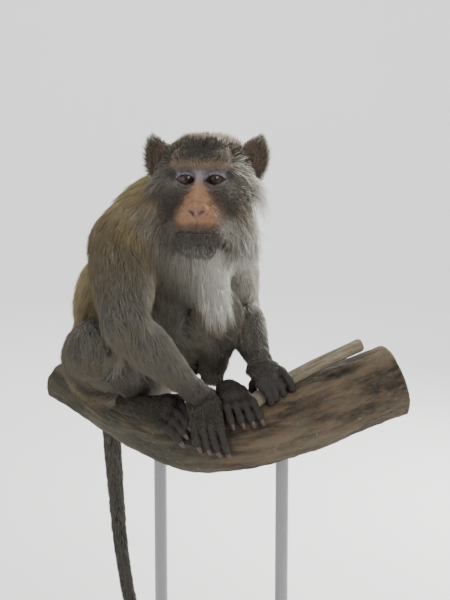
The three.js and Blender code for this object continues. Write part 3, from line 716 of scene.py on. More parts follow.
def face_field():
    skull = skull_field()
    line = [mouth_line(t) for t in np.linspace(-1, 1, 9)]
    upper_lip = drawn(skull, [(x * 0.93, z + 3.2) for x, z in line], ends(1.0, 2.6), 0.8)
    lower_lip = drawn(skull, [(x * 0.8, z - 3.0) for x, z in line], ends(0.4, 1.2), 1.0)
    brows = both(lambda s: drawn(skull, [(s * 3, 13), (s * 14, 17), (s * 27, 13)], ends(1.6, 2.6), 1.4))
    bags = both(lambda s: drawn(skull, [(s * 7, -8), (s * 14, -11), (s * 24, -7)], ends(1.0, 1.8), 0.9))
    bridge = drawn(skull, [(0, 5), (0, -5), (0, -18)], [(0, 2.5), (1, 4)], 2.2)
    lids = both(lambda s: ball((s * EYE["apart"], EYE["depth"], 0), EYE["radius"] + EYE["lid"]))
    grown = blend(3.2, skull, *brows, bridge, *bags, upper_lip, lower_lip)
    septum = tube([(0, 40, -24), (0, 44.5, -31), (0, 43, -35)], ramp([(0, 3), (0.5, 2.0), (1, 1.6)]), 5)
    grown = blend(1.6, grown, septum, *lids)
    folds = [
        drawn(grown, [(s * x, z) for x, z in path], ends(small, big), 0.1)
        for path, small, big in FOLDS for s in (-1, 1)
    ]
    folds += [drawn(grown, [(0, -36), (0, -44)], [(0, 0.7), (1, 0.5)], 0.1, 4)]
    folds += [drawn(grown, [(-12, -60), (0, -61.5), (12, -60)], ends(0.4, 1.0), 0.1)]

    def nostril(s, sink):
        path = [(s * 3.0, -32.6), (s * 4.9, -30.6), (s * 7.0, -29.6)]
        return drawn(grown, path, ends(0.8, 1.35), sink, 7)

    nostrils = both(lambda s: nostril(s, 0.3)) + both(lambda s: nostril(s, 1.8))
    mouth = [drawn(grown, line, ends(0.35, 0.7), sink, 17) for sink in (0.1, 1.0)]
    grown = carve(1.6, grown, *folds)
    grown = carve(0.8, grown, *nostrils)
    grown = carve(1.0, grown, lambda p: np.minimum(mouth[0](p), mouth[1](p)))
    fine = carve(0.7, grown, *both(almond))
    return only_near((-40, -22, -80), (40, 60, 34), fine, skull)


head_field = face_field()
head_points, head_faces = net(head_field, (-58, -96, -92), (58, 56, 56), 1.3)
print("head faces", len(head_faces))

# %% [markdown]
# ## Body
#
# The trunk, the limbs and the tail share one field. A wide blend joins shoulders and hips to the trunk, and a
# narrow one keeps the forearms and shins from melting into what they touch.

# %% Trunk and limbs
def trunk_field():
    middle = HIPS + (SHOULDERS - HIPS) * 0.45 - ahead * 8
    chest = SHOULDERS + ahead * 4 - up * 12
    parts = [
        cone(HIPS + rightward * 15, 44, HIPS - rightward * 15, 44),
        cone(HIPS + ahead * 12 + up * 12, 46, middle, 60),
        cone(middle, 60, chest, 54),
        cone(SHOULDERS + rightward * 40 - up * 4, 31, SHOULDERS - rightward * 40 - up * 4, 31),
        ball(SHOULDERS - ahead * 14 + up * 8, 46),
        cone(SHOULDERS + up * 10, 42, at(15, -22, 214), 31),
        cone(at(20, -34, 156), 24, at(37, -46, 112), 9),
    ]
    return blend(22, *parts)


def limbs(bones, start, end, sizes):
    """The same length of limb on both sides."""
    return {side: limb(places[start], places[end], ramp(sizes)) for side, places in bones.items()}


trunk = trunk_field()
upper_arm = limbs(ARM, "shoulder", "elbow", [(0, 29), (0.3, 29), (1, 19)])
forearm = limbs(ARM, "elbow", "wrist", [(0, 16), (0.25, 19.5), (0.9, 11), (1, 10)])
thigh = limbs(LEG, "hip", "knee", [(0, 36), (0.35, 37), (1, 24)])
shin = limbs(LEG, "knee", "ankle", [(0, 18), (0.3, 22), (0.75, 14), (1, 12)])
tail_radius = ramp([(0, 17), (0.25, 13.5), (0.7, 10), (1, 5.5)])
TAIL_COAT = 5
tail_skin = tube(TAIL, lambda t: np.maximum(tail_radius(t) - TAIL_COAT, 2.5), 28)
core = blend(16, trunk, upper_arm["right"], upper_arm["left"], thigh["right"], thigh["left"])
body_field = blend(6, core, *forearm.values(), *shin.values(), tail_skin)
body_points, body_faces = net(body_field, (-170, -150, 45), (125, 180, 690), 3.7)
print("body faces", len(body_faces))

# %% [markdown]
# ## Hands and feet
#
# A palm is a row of flattened balls and each digit a tube with thicker knuckles. The digits are laid out on
# the branch that they grip: a share of its length, degrees round it from the top, and a height above its
# bark.

# %% Paws
def on_branch(points, radius, share, degrees, height):
    axis = tangents(points, share)[0]
    top = unit(up - axis * (axis @ up))
    turn = math.radians(degrees)
    out = top * math.cos(turn) + np.cross(axis, top) * math.sin(turn)
    return along_curve(points, share)[0] + out * (float(radius(share)) + height)


def on_perch(share, degrees, height):
    return on_branch(PERCH, perch_radius, share, degrees, height)


def on_twig(share, degrees, height):
    return on_branch(TWIG, twig_radius, share, degrees, height)


def flattened(centre, axes, radii):
    """An ellipsoid whose three radii lie along the rows of axes."""
    inner = ellipsoid((0, 0, 0), radii)
    return lambda p: inner((p - centre.astype(np.float32)) @ axes.T)


def slab(points, side, half, thick, count=9):
    """Flattened balls in a row along a curve."""
    parts = []
    for t in np.linspace(0, 1, count):
        centre, along = along_curve(points, t)[0], tangents(points, t)[0]
        across = unit(side - along * (along @ side))
        axes = np.array([across, np.cross(along, across), along], np.float32)
        parts.append(flattened(centre, axes, (float(half(t)), float(thick(t)), 8.0)))
    return blend(4, *parts)


def digit(points, thick):
    """A finger or toe along a curve, with two knuckles."""
    knuckles = [ball(along_curve(points, t)[0], thick * k) for t, k in ((0.36, 1.14), (0.7, 1.06))]
    finger = tube(points, ramp([(0, thick * 1.1), (0.45, thick), (0.85, thick * 0.86), (1, thick * 0.7)]), 9)
    return blend(2.5, finger, *knuckles)


palm_half, palm_thick = ramp([(0, 11), (0.5, 15), (1, 17)]), ramp([(0, 9), (0.5, 8.5), (1, 7)])
sole_half, sole_thick = ramp([(0, 11), (0.5, 12.5), (1, 15)]), ramp([(0, 11), (0.5, 9), (1, 7)])
PAWS = {
    "hand_right": {
        "from": (ARM["right"]["elbow"], ARM["right"]["wrist"], 11.2),
        "palm": [ARM["right"]["wrist"], on_perch(0.504, 22, 15), on_perch(0.52, 38, 9)],
        "side": vec(1, -0.25, 0), "half": palm_half, "thick": palm_thick, "size": 4.1,
        "digits": [
            [on_perch(0.5 + 0.0155 * i, 32, 9), on_perch(0.5 + 0.0175 * i, 56 + 3 * i, 10),
             on_perch(0.503 + 0.018 * i, 78 + 3 * i, 6.5), on_perch(0.507 + 0.018 * i, 92 + 4 * i, 4.2)]
            for i in range(4)
        ] + [[on_perch(0.492, 8, 15), on_perch(0.512, -4, 11), on_perch(0.53, -12, 5.5)]],
    },
    "hand_left": {
        "from": (ARM["left"]["elbow"], ARM["left"]["wrist"], 11.2),
        "palm": [ARM["left"]["wrist"], on_twig(0.3, 0, 16), on_twig(0.36, 20, 9)],
        "side": vec(0.85, 0.5, 0.1), "half": palm_half, "thick": palm_thick, "size": 4.0,
        "digits": [
            [on_twig(0.2 + 0.075 * i, 20, 9), on_twig(0.21 + 0.075 * i, 62, 8),
             on_twig(0.215 + 0.075 * i, 108, 5.0), on_twig(0.22 + 0.075 * i, 150, 4.6)]
            for i in range(4)
        ] + [[on_twig(0.27, -25, 11), on_twig(0.23, -60, 8), on_twig(0.2, -100, 5)]],
    },
    "foot_right": {
        "from": (LEG["right"]["knee"], LEG["right"]["ankle"], 11.5),
        "palm": [on_perch(0.31, 42, 11.5), on_perch(0.37, 40, 11), on_perch(0.43, 38, 9)],
        "side": vec(0.6, -0.6, -0.7), "half": sole_half, "thick": sole_thick, "size": 4.2,
        "digits": [
            [on_perch(0.42 + 0.006 * i, 58 - 12 * i, 7), on_perch(0.44 + 0.008 * i, 65 - 11 * i, 8),
             on_perch(0.461 + 0.008 * i, 76 - 10.5 * i, 5.6), on_perch(0.474 + 0.008 * i, 86 - 10.5 * i, 4.4)]
            for i in range(4)
        ] + [[on_perch(0.365, 26, 11), on_perch(0.41, 8, 8.5), on_perch(0.44, 2, 5.5)]],
    },
    "foot_left": {
        "from": (LEG["left"]["knee"], LEG["left"]["ankle"], 11.5),
        "palm": [on_perch(0.565, -46, 12), on_perch(0.575, -14, 11), on_perch(0.588, 20, 9)],
        "side": vec(1, 0.1, 0), "half": sole_half, "thick": sole_thick, "size": 4.1,
        "digits": [
            [on_perch(0.568 + 0.016 * i, 14, 7), on_perch(0.571 + 0.0175 * i, 36, 8),
             on_perch(0.574 + 0.018 * i, 53, 5.6), on_perch(0.577 + 0.018 * i, 66, 4.4)]
            for i in range(4)
        ] + [[on_perch(0.584, -18, 11), on_perch(0.609, -8, 8), on_perch(0.622, 6, 5)]],
    },
}


def paw_field(paw):
    far, near, radius = paw["from"]
    start = near + (far - near) * 0.28
    stub = cone(start, radius, near, radius)
    palm = slab(paw["palm"], paw["side"], paw["half"], paw["thick"])
    knuckles = [ball(path[0], paw["size"] * 1.15) for path in paw["digits"][:4]]
    digits = [digit(path, paw["size"]) for path in paw["digits"]]
    hand = blend(6, stub, palm)
    hand = blend(3, hand, *knuckles)
    return blend(2.2, hand, lambda p: np.minimum.reduce([d(p) for d in digits]))


paw_fields, paw_meshes = {}, {}
for name, paw in PAWS.items():
    paw_fields[name] = paw_field(paw)
    far, near, _ = paw["from"]
    places = np.array([q for path in paw["digits"] for q in path] + paw["palm"] + [near + (far - near) * 0.3])
    paw_meshes[name] = net(paw_fields[name], places.min(0) - 20, places.max(0) + 20, 1.5)
    print(name, "faces", len(paw_meshes[name][1]))


# %% [markdown]
# ## Ears
#
# A monkey's ear is a thin cup with a rolled rim, drawn to a blunt point at its upper outer edge. It is a
# flattened ball with a smaller one taken out of its front, plus a fold that runs down inside.

# %% Ears
EAR = {"half": 15, "deep": 7, "tall": 24, "rim": 2.4, "point": 4, "out": 50, "back": -38, "high": 19.5}


def turned_back(points, x, y, z):
    """Undoes a turn about the x, y and z axes in that order, by angles in radians."""
    for axis, angle in ((2, -z), (1, -y), (0, -x)):
        c, s = math.cos(angle), math.sin(angle)
        i, j = (axis + 1) % 3, (axis + 2) % 3
        moved = points.copy()
        moved[:, i] = c * points[:, i] - s * points[:, j]
        moved[:, j] = s * points[:, i] + c * points[:, j]
        points = moved
    return points


def ear_field(side):
    half, deep, tall, rim = EAR["half"], EAR["deep"], EAR["tall"], EAR["rim"]
    blade = ellipsoid((0, 0, 0), (half, deep, tall))
    hollow = ellipsoid((side * 1.0, deep * 0.85, 0.5), (half - rim, deep * 1.02, tall - rim * 1.2))
    path = [(side * -5, -1, 12), (side, 0, 4), (-side, 0, -8), (side * -6, 1, -15)]
    fold = tube(path, ramp([(0, 1.5), (0.5, 2.2), (1, 1.5)]), 8)
    flap = ellipsoid((side * -11, 3, -9), (3.0, 3.5, 6))
    cup = blend(1.5, carve(1.5, blade, hollow), fold, flap)
    root = cone((side * 28, -38, 6), 12, (side * 41, -38, 10), 7)

    def field(p):
        q = turned_back(p - vec(side * EAR["out"], EAR["back"], EAR["high"]), 0.12, side * 0.2, side * -0.5)
        rise = np.maximum(0, q[:, 2] / tall)
        q[:, 0] = (q[:, 0] - side * EAR["point"] * rise**2) / np.maximum(1 - 0.4 * rise**3, 0.4)
        return smooth_min(cup(q), root(p), 3)
    return field


ear_fields, ear_meshes = {}, {}
for side in (-1, 1):
    low = (side * 44 - 32, -62, -12)
    ear_fields[side] = ear_field(side)
    ear_meshes[side] = net(ear_fields[side], low, (low[0] + 64, -18, 56), 1.15)
    print("ear faces", len(ear_meshes[side][1]))


# %% [markdown]
# ## Markings
#
# Skin and coat wear the same markings, so one function gives the colour at a place for both: olive brown
# above, grey on the limbs, pale below and on the ruff, a dark cap, and a bare face of tan and grey skin.
# Each marking is a smooth mask between two sizes of the body. The animal's right side of head, ruff and chest
# is darkened as painted shade, and the upper and outer parts of its left arm are lightened as painted rim
# light.

# %% Colours of coat and skin
OLIVE, UMBER, GREY_BROWN = rgb("#887b5d"), rgb("#6b6252"), rgb("#77726a")
GREY, PALE, WHITE = rgb("#6b6965"), rgb("#bdb8ad"), rgb("#e8e5dd")
CAP, RIM, BROW = rgb("#413e3a"), rgb("#867d6b"), rgb("#83715f")
CHEEK, TEMPLE, MUZZLE, NOSE = rgb("#544d47"), rgb("#78736a"), rgb("#8c6a50"), rgb("#7b5f54")
LID, LOWER_LID, LIP = rgb("#767177"), rgb("#6a6361"), rgb("#4d433d")
CHIN, BARE_DARK, EAR_SKIN, DARK_RIM = rgb("#5f5a55"), rgb("#302c2a"), rgb("#4d3d37"), rgb("#2f2522")
# RUFF_SHADE is the ruff's tone in painted shade, used for the animal's right side of head and chest
CORNER, DARK_FUR, RUFF_SHADE = rgb("#8f8b83"), rgb("#57514a"), rgb("#8d8476")
print("back, limbs and chest", [[round(float(c), 3) for c in tone] for tone in (OLIVE, GREY, WHITE)])

# %% Markings of the body
LIMB_TONES = {  # the tone of the outer side, and how pale the inner one is
    "forearm_": (GREY * 0.8, 0.25), "thigh_": (GREY * 0.8, 0.15), "shin_": (GREY * 0.75, 0.3),
}


def plain(tone, points):
    return np.tile(tone, (len(points), 1))


def mix(a, b, share):
    return a + (b - a) * share[:, None]


def trunk_share(p):
    return (p - HIPS) @ spine / float(np.linalg.norm(SHOULDERS - HIPS))


def chest_share(p, n):
    """1 on the pale chest and belly, 0 on the back and the right shoulder."""
    across = (p - SHOULDERS) @ rightward
    return step(0.1, 0.55, n @ ahead) * step(60, 34, across) * step(-96, -64, across)


def body_colour(p, n, weights):
    """The tone at places of the body, from their normals and the weights of its parts."""
    share, faces = trunk_share(p), n @ ahead
    across = (p - SHOULDERS) @ rightward
    back = mix(GREY_BROWN, OLIVE, step(0.0, 0.9, share))
    front = mix(PALE, WHITE, step(0.4, 0.9, share))
    # the chest turns grey towards the animal's right side, as painted shade
    front = mix(front, RUFF_SHADE * 0.72, 0.92 * step(-30, 34, across))
    colour = {"trunk": mix(back, front, chest_share(p, n)), "tail": plain(GREY * 0.8, p)}
    for side, inward in (("right", -rightward), ("left", rightward)):
        inner, arm = step(0.0, 0.8, n @ inward), ARM[side]
        bone = arm["elbow"] - arm["shoulder"]
        down = step(0.0, 1.0, (p - arm["shoulder"]) @ bone / float(bone @ bone))
        colour["upper_arm_" + side] = mix(mix(plain(UMBER, p), GREY * 0.85, down), PALE, inner * 0.5)
        for part, (tone, pale) in LIMB_TONES.items():
            colour[part + side] = mix(plain(tone, p), PALE, inner * pale)
    # The outer side of the left forearm and the upper part of the left upper arm are painted paler and
    # whiter, as painted rim light.
    outer, high = step(0.2, 0.9, -(n @ rightward)), step(0.1, 0.5, share)
    colour["forearm_left"] = mix(colour["forearm_left"], PALE, 0.7 * outer)
    rim_lit_arm = mix(colour["upper_arm_left"], PALE, 0.75 * step(-0.9, -0.1, faces) * high)
    colour["upper_arm_left"] = mix(rim_lit_arm, WHITE, 0.85 * step(-0.3, 0.4, faces) * high)
    total = np.zeros((len(p), 3))
    for part, weight in zip(BODY_PARTS, weights):
        total += colour[part.name] * weight[:, None]
    return total


print("limbs with tones of their own", ", ".join(LIMB_TONES))

# %% Markings of the head
MUZZLE_HEIGHTS = [-52, -46, -40, -30, -20, -10, 0, 6]
MUZZLE_HALF_WIDTHS = [17, 21, 22, 19.5, 14, 9, 5.5, 3.5]


def oval(x, z, half, tall, out=0, high=0):
    """How far a place is from the middle of an oval on the face, whose edge counts as 1."""
    return np.hypot((x - out) / half, (z - high) / tall)


def face_masks(q):
    """Where the parts of the face lie, in the head's frame, each from 0 to 1."""
    x, y, z = np.abs(q[:, 0]), q[:, 1], q[:, 2]
    # the animal's right side, where tones are darkened as painted shade
    painted_shade_side = step(12, -22, q[:, 0])
    ring = oval(x, z, 42 - 8 * step(-5, 12, z), 45, high=-16)
    jaw = oval(x, z, 29, 22, high=-56)
    disc = np.maximum(step(1.12, 0.86, ring), step(1.3, 0.6, jaw)) * step(-18, 2, y)
    # dark cheeks, spread further out on the animal's right side as painted shade
    shade = step(1.35, 0.85, oval(x, z, 33 + 9 * painted_shade_side, 52, high=-24)) * step(-12, 4, y)
    around = step(0.92, 1.08, np.minimum(ring, jaw * 1.05))
    chin = oval(x, z, 28 - 9 * step(-56, -76, z), 24, high=-54)
    muzzle = x / np.interp(z, MUZZLE_HEIGHTS, MUZZLE_HALF_WIDTHS)
    ragged = 0.10 * np.sin(q[:, 0] * 0.9 + z * 0.7) * np.sin(z * 1.1 - q[:, 0] * 0.3)
    ragged = ragged + 0.07 * np.sin(z * 2.3 + q[:, 0] * 2)
    over_mouth = z - mouth_line(x / MOUTH_HALF)[1]
    return {
        "painted_shade_side": painted_shade_side,
        "disc": disc,
        "shade": np.maximum(disc, shade),
        "muzzle": step(1.4, 0.7, muzzle + ragged) * step(6, 16, y) * step(-50, -37, z) * step(6, -6, z),
        "bridge": step(9, 4, x) * step(-8, -1, z) * step(13, 8, z) * step(-4, 4, y),
        "lids": step(1.2, 0.5, oval(x, z, 16, 12.5, 16, 1)) * step(-2, 5, y),
        "upper": step(0.5, 4, z),
        "rim": step(1.5, 0.8, slit(1, x, z)) * step(0, 5, y),
        "lips": step(4.5, 0.5, np.abs(over_mouth + 0.4)) * step(27, 18, x) * step(12, 20, y),
        # the seam is the line between the lips, painted darkest as painted shade in the crease
        "seam": step(1.5, 0.3, np.abs(over_mouth)) * step(26, 19, x) * step(12, 20, y),
        "nose": step(1.1, 0.8, oval(x, z, 9.5, 6, high=-31)) * step(34, 38, y),
        "chin": step(-40, -52, z) * step(1.35, 0.5, chin),
        "brow": step(42, 24, x) * step(7, 13, z) * step(23, 14, z) * step(-2, 6, y),
        "temple": step(24, 33, x) * step(-16, 0, z) * disc,
        # the pale mouth corner is mostly left off the animal's right side, as painted shade
        "corner": step(1.4, 0.4, oval(x, z, 8, 11, 28.5, -47)) * (1 - 0.75 * painted_shade_side),
        "cap": step(46, 30, x) * step(14, 21, z) * step(-42, -20, y),
        "ruff": around * step(24, 6, z),
        # the pale ruff starts lower on the animal's right side, as painted shade
        "pale": around * step(32, 14, z + 8 * painted_shade_side),
        "beard": step(-66, -84, z),
    }


def head_colour(q):
    """The tone at places of the head, where each marking is laid over the ones before it."""
    m = face_masks(q)
    painted_shade_side = m["painted_shade_side"]
    # On the animal's right side the lower head takes a darker temple tone and the ruff and beard stay grey,
    # as painted shade.
    colour = mix(plain(RIM, q), TEMPLE * 0.8, painted_shade_side * step(34, 20, q[:, 2]))
    ruff = mix(plain((PALE + WHITE) / 2, q), RUFF_SHADE * 0.68, painted_shade_side * 0.92)
    chin = mix(plain(CHIN * 0.9, q), PALE, 0.9 * step(-61, -78, q[:, 2]))
    mottled = 0.94 + 0.06 * np.sin(q[:, 0] * 0.45 + 1) * np.sin(q[:, 2] * 0.4)
    layers = {
        "pale": ruff, "beard": mix(ruff, WHITE, 1 - painted_shade_side), "shade": CHEEK, "temple": TEMPLE, "cap": CAP,
        "brow": BROW, "chin": chin, "corner": CORNER, "bridge": LID, "muzzle": MUZZLE * mottled[:, None],
        "nose": NOSE, "lips": LIP, "lids": mix(plain(LOWER_LID, q), LID, m["upper"]), "rim": DARK_RIM,
        # the seam's dark tone is painted shade in the crease between the lips
        "seam": DARK_RIM,
    }
    for name, tone in layers.items():
        colour = mix(colour, tone, m[name])
    return colour


print("markings of the head", len(face_masks(head_points[:1])))

# %% [markdown]
# ## Lie of the coat
#
# Hair has a direction at each place: down the back and chest, along each limb to its end, and on the head
# away from the middle of the face. Each part of the body has its own, and a point near several parts takes
# a weighted mean of them, so that the coat turns smoothly from the shoulder into the arm.

# %% Parts of the body's coat
def trunk_lie(p):
    q = p - HIPS
    radial = unit(q - (q @ spine)[:, None] * spine)
    front = step(-0.2, 0.5, radial @ ahead)[:, None]
    sideways = (radial @ rightward)[:, None] * rightward * 0.25
    return unit((-spine * 0.9 - up * 0.5) * (1 - front) - up * front + sideways)


def straight_lie(start, end, fall):
    way = unit(unit(end - start) - up * fall)
    return lambda p: np.broadcast_to(way, p.shape)


Part = namedtuple("Part", "name field lie length rise")  # the last two are its hair's

BODY_PARTS = [Part("trunk", trunk, trunk_lie, 32, 15)]
for side in ("right", "left"):
    shoulder, elbow, wrist = (ARM[side][joint] for joint in ("shoulder", "elbow", "wrist"))
    hip, knee, ankle = (LEG[side][joint] for joint in ("hip", "knee", "ankle"))
    BODY_PARTS += [
        Part("upper_arm_" + side, upper_arm[side], straight_lie(shoulder, elbow, 0.35), 28, 10),
        Part("forearm_" + side, forearm[side], straight_lie(elbow, wrist, 0.3), 20, 6.5),
        Part("thigh_" + side, thigh[side], straight_lie(hip, knee, 0.6), 27, 10),
        Part("shin_" + side, shin[side], straight_lie(knee, ankle, 0.2), 15, 5),
    ]
TAIL_LENGTHS = 8
tail_stops = along_curve(TAIL, np.linspace(0, 1, TAIL_LENGTHS + 1))
for i, (a, b) in enumerate(zip(tail_stops, tail_stops[1:])):
    size = float(tail_radius(i / TAIL_LENGTHS)) - TAIL_COAT
    BODY_PARTS.append(Part("tail", cone(a, size, b, size), straight_lie(a, b, 0.1), 15, 4.5))


def part_weights(p):
    """How much each part of the body has to say at each place."""
    near = np.array([part.field(p) for part in BODY_PARTS])
    near = np.exp(-(near - near.min(0)) / 5)
    return near / near.sum(0)


def waver(p):
    """A slow wandering of the lie, which parts the coat into locks."""
    x, y, z = p.T / 17
    return np.stack([np.sin(y * 1.3 + z * 0.9), np.sin(z * 1.1 + x * 1.7), np.sin(x * 1.2 - y)], 1) * 0.16


def body_lie(p):
    weights = part_weights(p)
    way = sum(part.lie(p) * weight[:, None] for part, weight in zip(BODY_PARTS, weights))
    return way + waver(p)


print("parts with a lie of their own", len(BODY_PARTS))

# %% [markdown]
# ## Roots
#
# A coat looks even when each patch of skin has its fair number of hairs, and combed when they stand in rows.
# So the faces are laid end to end by how many roots each is due, and the roots are set along that line at
# even steps with a small random shift, each then at a random place of its face.

# %% Roots
SEED = 11
rng = np.random.default_rng(SEED)


def scatter(points, faces, density):
    """Spreads roots over faces, as many as density (in each square millimetre) asks for."""
    tris = np.concatenate([faces[:, [0, 1, 2]], faces[:, [0, 2, 3]]], 1).reshape(-1, 3)
    a, b, c = (points[tris[:, i]] for i in range(3))
    area = np.linalg.norm(np.cross(b - a, c - a), axis=1) / 2
    edge = np.cumsum(area * density((a + b + c) / 3))
    count = int(edge[-1])
    pick = np.searchsorted(edge, (np.arange(count) + rng.random(count)) / count * edge[-1])
    pick = np.minimum(pick, len(tris) - 1)
    u, w = rng.random(count), rng.random(count)
    u, w = np.where(u + w > 1, 1 - u, u)[:, None], np.where(u + w > 1, 1 - w, w)[:, None]
    return (a[pick] + (b - a)[pick] * u + (c - a)[pick] * w).astype(np.float32)


print("seed of every random draw", SEED)

# %% [markdown]
# ## Tufts
#
# Particle hair can't leave Blender as a mesh, so each tuft is a thin closed spike of a few triangles. Its
# centre line creeps over the skin along the lie while it rises from it, and the lines of a clump are drawn
# together towards their tips. That pulling together is what makes a mass of spikes read as a coat.

# %% Growing centre lines
MEDIUM, SHORT = (0.0, 0.42, 1.0), (0.0, 0.5, 1.0)  # where the rings lie along a tuft
PATCH = 0.003  # how much of the unwrapped skin one tuft takes


def tangential(way, normal):
    return unit(way - normal * (way * normal).sum(1, keepdims=True))


def gathered(lines, roots, shares, clump, group):
    """Draws lines together, most at their tips, towards leaders of about one group each."""
    leaders = rng.choice(len(roots), max(1, len(roots) // group), replace=False)
    tree = kdtree.KDTree(len(leaders))
    for i in leaders:
        tree.insert(roots[i], int(i))
    tree.balance()
    nearest = np.array([tree.find(root)[1] for root in roots])
    pull = clump * np.array(shares, np.float32) ** 1.3
    strength = rng.uniform(0.55, 1.0, len(roots)).astype(np.float32)
    pull = pull[None, :, None] * strength[:, None, None]
    return (lines + (lines[nearest] - lines) * pull).astype(np.float32)


def centre_lines(
    field, roots, lie, length, rise, shares, hang, clump, fall=0.12, spread=0.2, group=11, sink=1.2
):
    """Lines that creep over a field; hang is how far each is stiff and leaves it straight."""
    normal = unit(gradient(field, roots))
    stray = rng.normal(0, spread, roots.shape).astype(np.float32)
    heading = tangential(lie(roots) + stray, normal)
    first_normal, first_heading = normal, heading
    base, lines = roots, [roots - normal * sink]
    for before, share in zip(shares, shares[1:]):
        base = onto(field, base + heading * (length * (share - before))[:, None], 1, 6.0)
        normal = unit(gradient(field, base))
        heading = tangential(lie(base) + stray, normal)
        height = (rise * (1 - (1 - share) ** 1.8))[:, None]
        follow = base + normal * height
        straight = roots + first_heading * (length * share)[:, None] + first_normal * height
        line = follow + (straight - follow) * hang[:, None]
        lines.append(line - up * (length * fall * share * share)[:, None])
    return gathered(np.stack(lines, 1), roots, shares, clump, group)


print("rings of a tuft", len(MEDIUM))

# %% From centre lines to a mesh
def tuft_faces(rings):
    """The triangles of one tuft: a closed root, the sides between its rings, and a pointed tip."""
    pattern = [(0, 2, 1)]
    for r in range(rings - 2):
        for s in range(3):
            a, b = 3 * r + s, 3 * r + (s + 1) % 3
            pattern += [(a, b, a + 3), (b, b + 3, a + 3)]
    last, tip = 3 * (rings - 2), 3 * (rings - 1)
    pattern += [(last + s, last + (s + 1) % 3, tip) for s in range(3)]
    return np.array(pattern)


SECTION = [(-1, -0.25), (1, -0.25), (0, 0.75)]  # a tuft is a flat triangle across
TAPER = [0, 0.35, 0.75, 1], [0.8, 1.0, 0.6, 0]


def tuft_mesh(name, lines, normals, width, tint, band, chart, material):
    """Three-sided closed tufts with a colour, a strand attribute and a patch of UV each."""
    count, rings = lines.shape[:2]
    along = unit(np.gradient(lines, axis=1))
    across = unit(np.cross(along, normals[:, None, :]))
    over = np.cross(across, along)
    shares = np.linspace(0, 1, rings)
    half = width[:, None] * np.interp(shares, *TAPER).astype(np.float32)[None, :]
    ring = np.stack([
        lines + across * (half * x)[..., None] + over * (half * y)[..., None] for x, y in SECTION
    ], 2)
    points = np.concatenate([ring[:, :-1].reshape(count, -1, 3), lines[:, -1:]], 1)
    each = points.shape[1]
    faces = (tuft_faces(rings)[None] + (np.arange(count) * each)[:, None, None]).reshape(-1, 3)
    made = mesh_object(name, points.reshape(-1, 3), faces, material)
    level = np.append(np.repeat(shares[:-1], 3), 1)
    luck = np.repeat(rng.random(count), each)
    give(made, "strand", np.stack([np.tile(level, count), luck, np.repeat(band, each)], 1))
    give(made, "tint", np.repeat(tint, each, 0))
    corner = np.append(np.tile([0, 1, 0.5], rings - 1), 0.5)
    patch = np.stack([corner - 0.5, level - 0.5], 1) * PATCH
    layer = made.data.uv_layers.new(name="OFBake")
    uv = (np.repeat(chart, each, 0).reshape(count, each, 2) + patch[None]).reshape(-1, 2)
    layer.data.foreach_set("uv", uv[faces.ravel()].astype(np.float32).ravel())
    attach(made, "root")
    print(name, "tufts", count, "triangles", len(faces))
    return made


def unrolled(p, start, end):
    """A part's skin unrolled round its axis into the unit square."""
    axis = unit(end - start)
    side = unit(np.cross(axis, vec(0.3, 0.9, 0.2)))
    q = p - start
    angle = np.arctan2(q @ np.cross(axis, side), q @ side) / (2 * np.pi) + 0.5
    share = q @ axis
    share = (share - share.min()) / max(float(np.ptp(share)), 1e-6)
    return np.stack([0.01 + 0.98 * angle, 0.01 + 0.98 * share], 1)


print("triangles in each tuft", len(tuft_faces(len(MEDIUM))))

# %% [markdown]
# ## The finish of hair
#
# Each tuft is darker towards its root. A hair of this animal is ringed with straw near its tip, which gives
# the olive ticking of back and crown. The shader reads the place along the tuft and a random number for each
# one.

# %% Hair material
def coat_material(name):
    material, place, plug_in = finish(name, Specular_IOR_Level=0.25)
    strand = place.tree.nodes.new("ShaderNodeSeparateColor")
    place.tree.links.new(attribute(place, "strand", "Color").socket, strand.inputs[0])
    along, luck, band = (Wire(place.tree, strand.outputs[i]) for i in range(3))
    tint = attribute(place, "tint", "Color")
    depth = 0.42 + 0.58 * along.between(0.0, 0.55)
    vary = 0.8 + 0.4 * luck
    body = tint.scaled(depth * vary)
    ticked = (band * along.between(0.62, 0.8) * 0.55).blend(body, tuple(rgb("#b9a478")))
    plug_in("Base Color", ticked)
    plug_in("Roughness", 0.5 + 0.25 * luck)
    return material


hair = coat_material("coat_hair")
print("nodes in the hair's finish", len(hair.node_tree.nodes))

# %% [markdown]
# ## Body coat
#
# The coat is long on the trunk, shorter down the limbs, and shortest on forearms, shins and tail, which get
# thinner tufts. It lies close at wrists and ankles, so that no cuff shows, and hangs free on the chest. The
# tufts are grown in two passes, one for each kind, and then parted into pieces that a person would name.

# %% How dense the body's coat is
SHORT_HAIRED = ("forearm", "shin", "tail")


def short_haired(weights):
    return sum(w for w, part in zip(weights, BODY_PARTS) if part.name.startswith(SHORT_HAIRED))


def body_density(p):
    """Tufts in each square millimetre."""
    weights = part_weights(p)
    front = weights[0] * chest_share(p, unit(gradient(body_field, p)))
    return 0.44 + 0.06 * short_haired(weights) + 0.14 * front


body_roots = scatter(body_points, body_faces, body_density)
print("roots on the body", len(body_roots))

# %% How long the body's coat is
def limb_ends(p, weights):
    """1 at the wrists and ankles, 0 from the middle of the forearms and shins on."""
    near_end = np.zeros(len(p))
    bones = {"forearm_" + s: (a["elbow"], a["wrist"]) for s, a in ARM.items()}
    bones |= {"shin_" + s: (g["knee"], g["ankle"]) for s, g in LEG.items()}
    for weight, part in zip(weights, BODY_PARTS):
        if part.name in bones:
            start, end = bones[part.name]
            along = (p - start) @ (end - start) / float((end - start) @ (end - start))
            near_end = np.maximum(near_end, weight * step(0.5, 1.0, along))
    return near_end


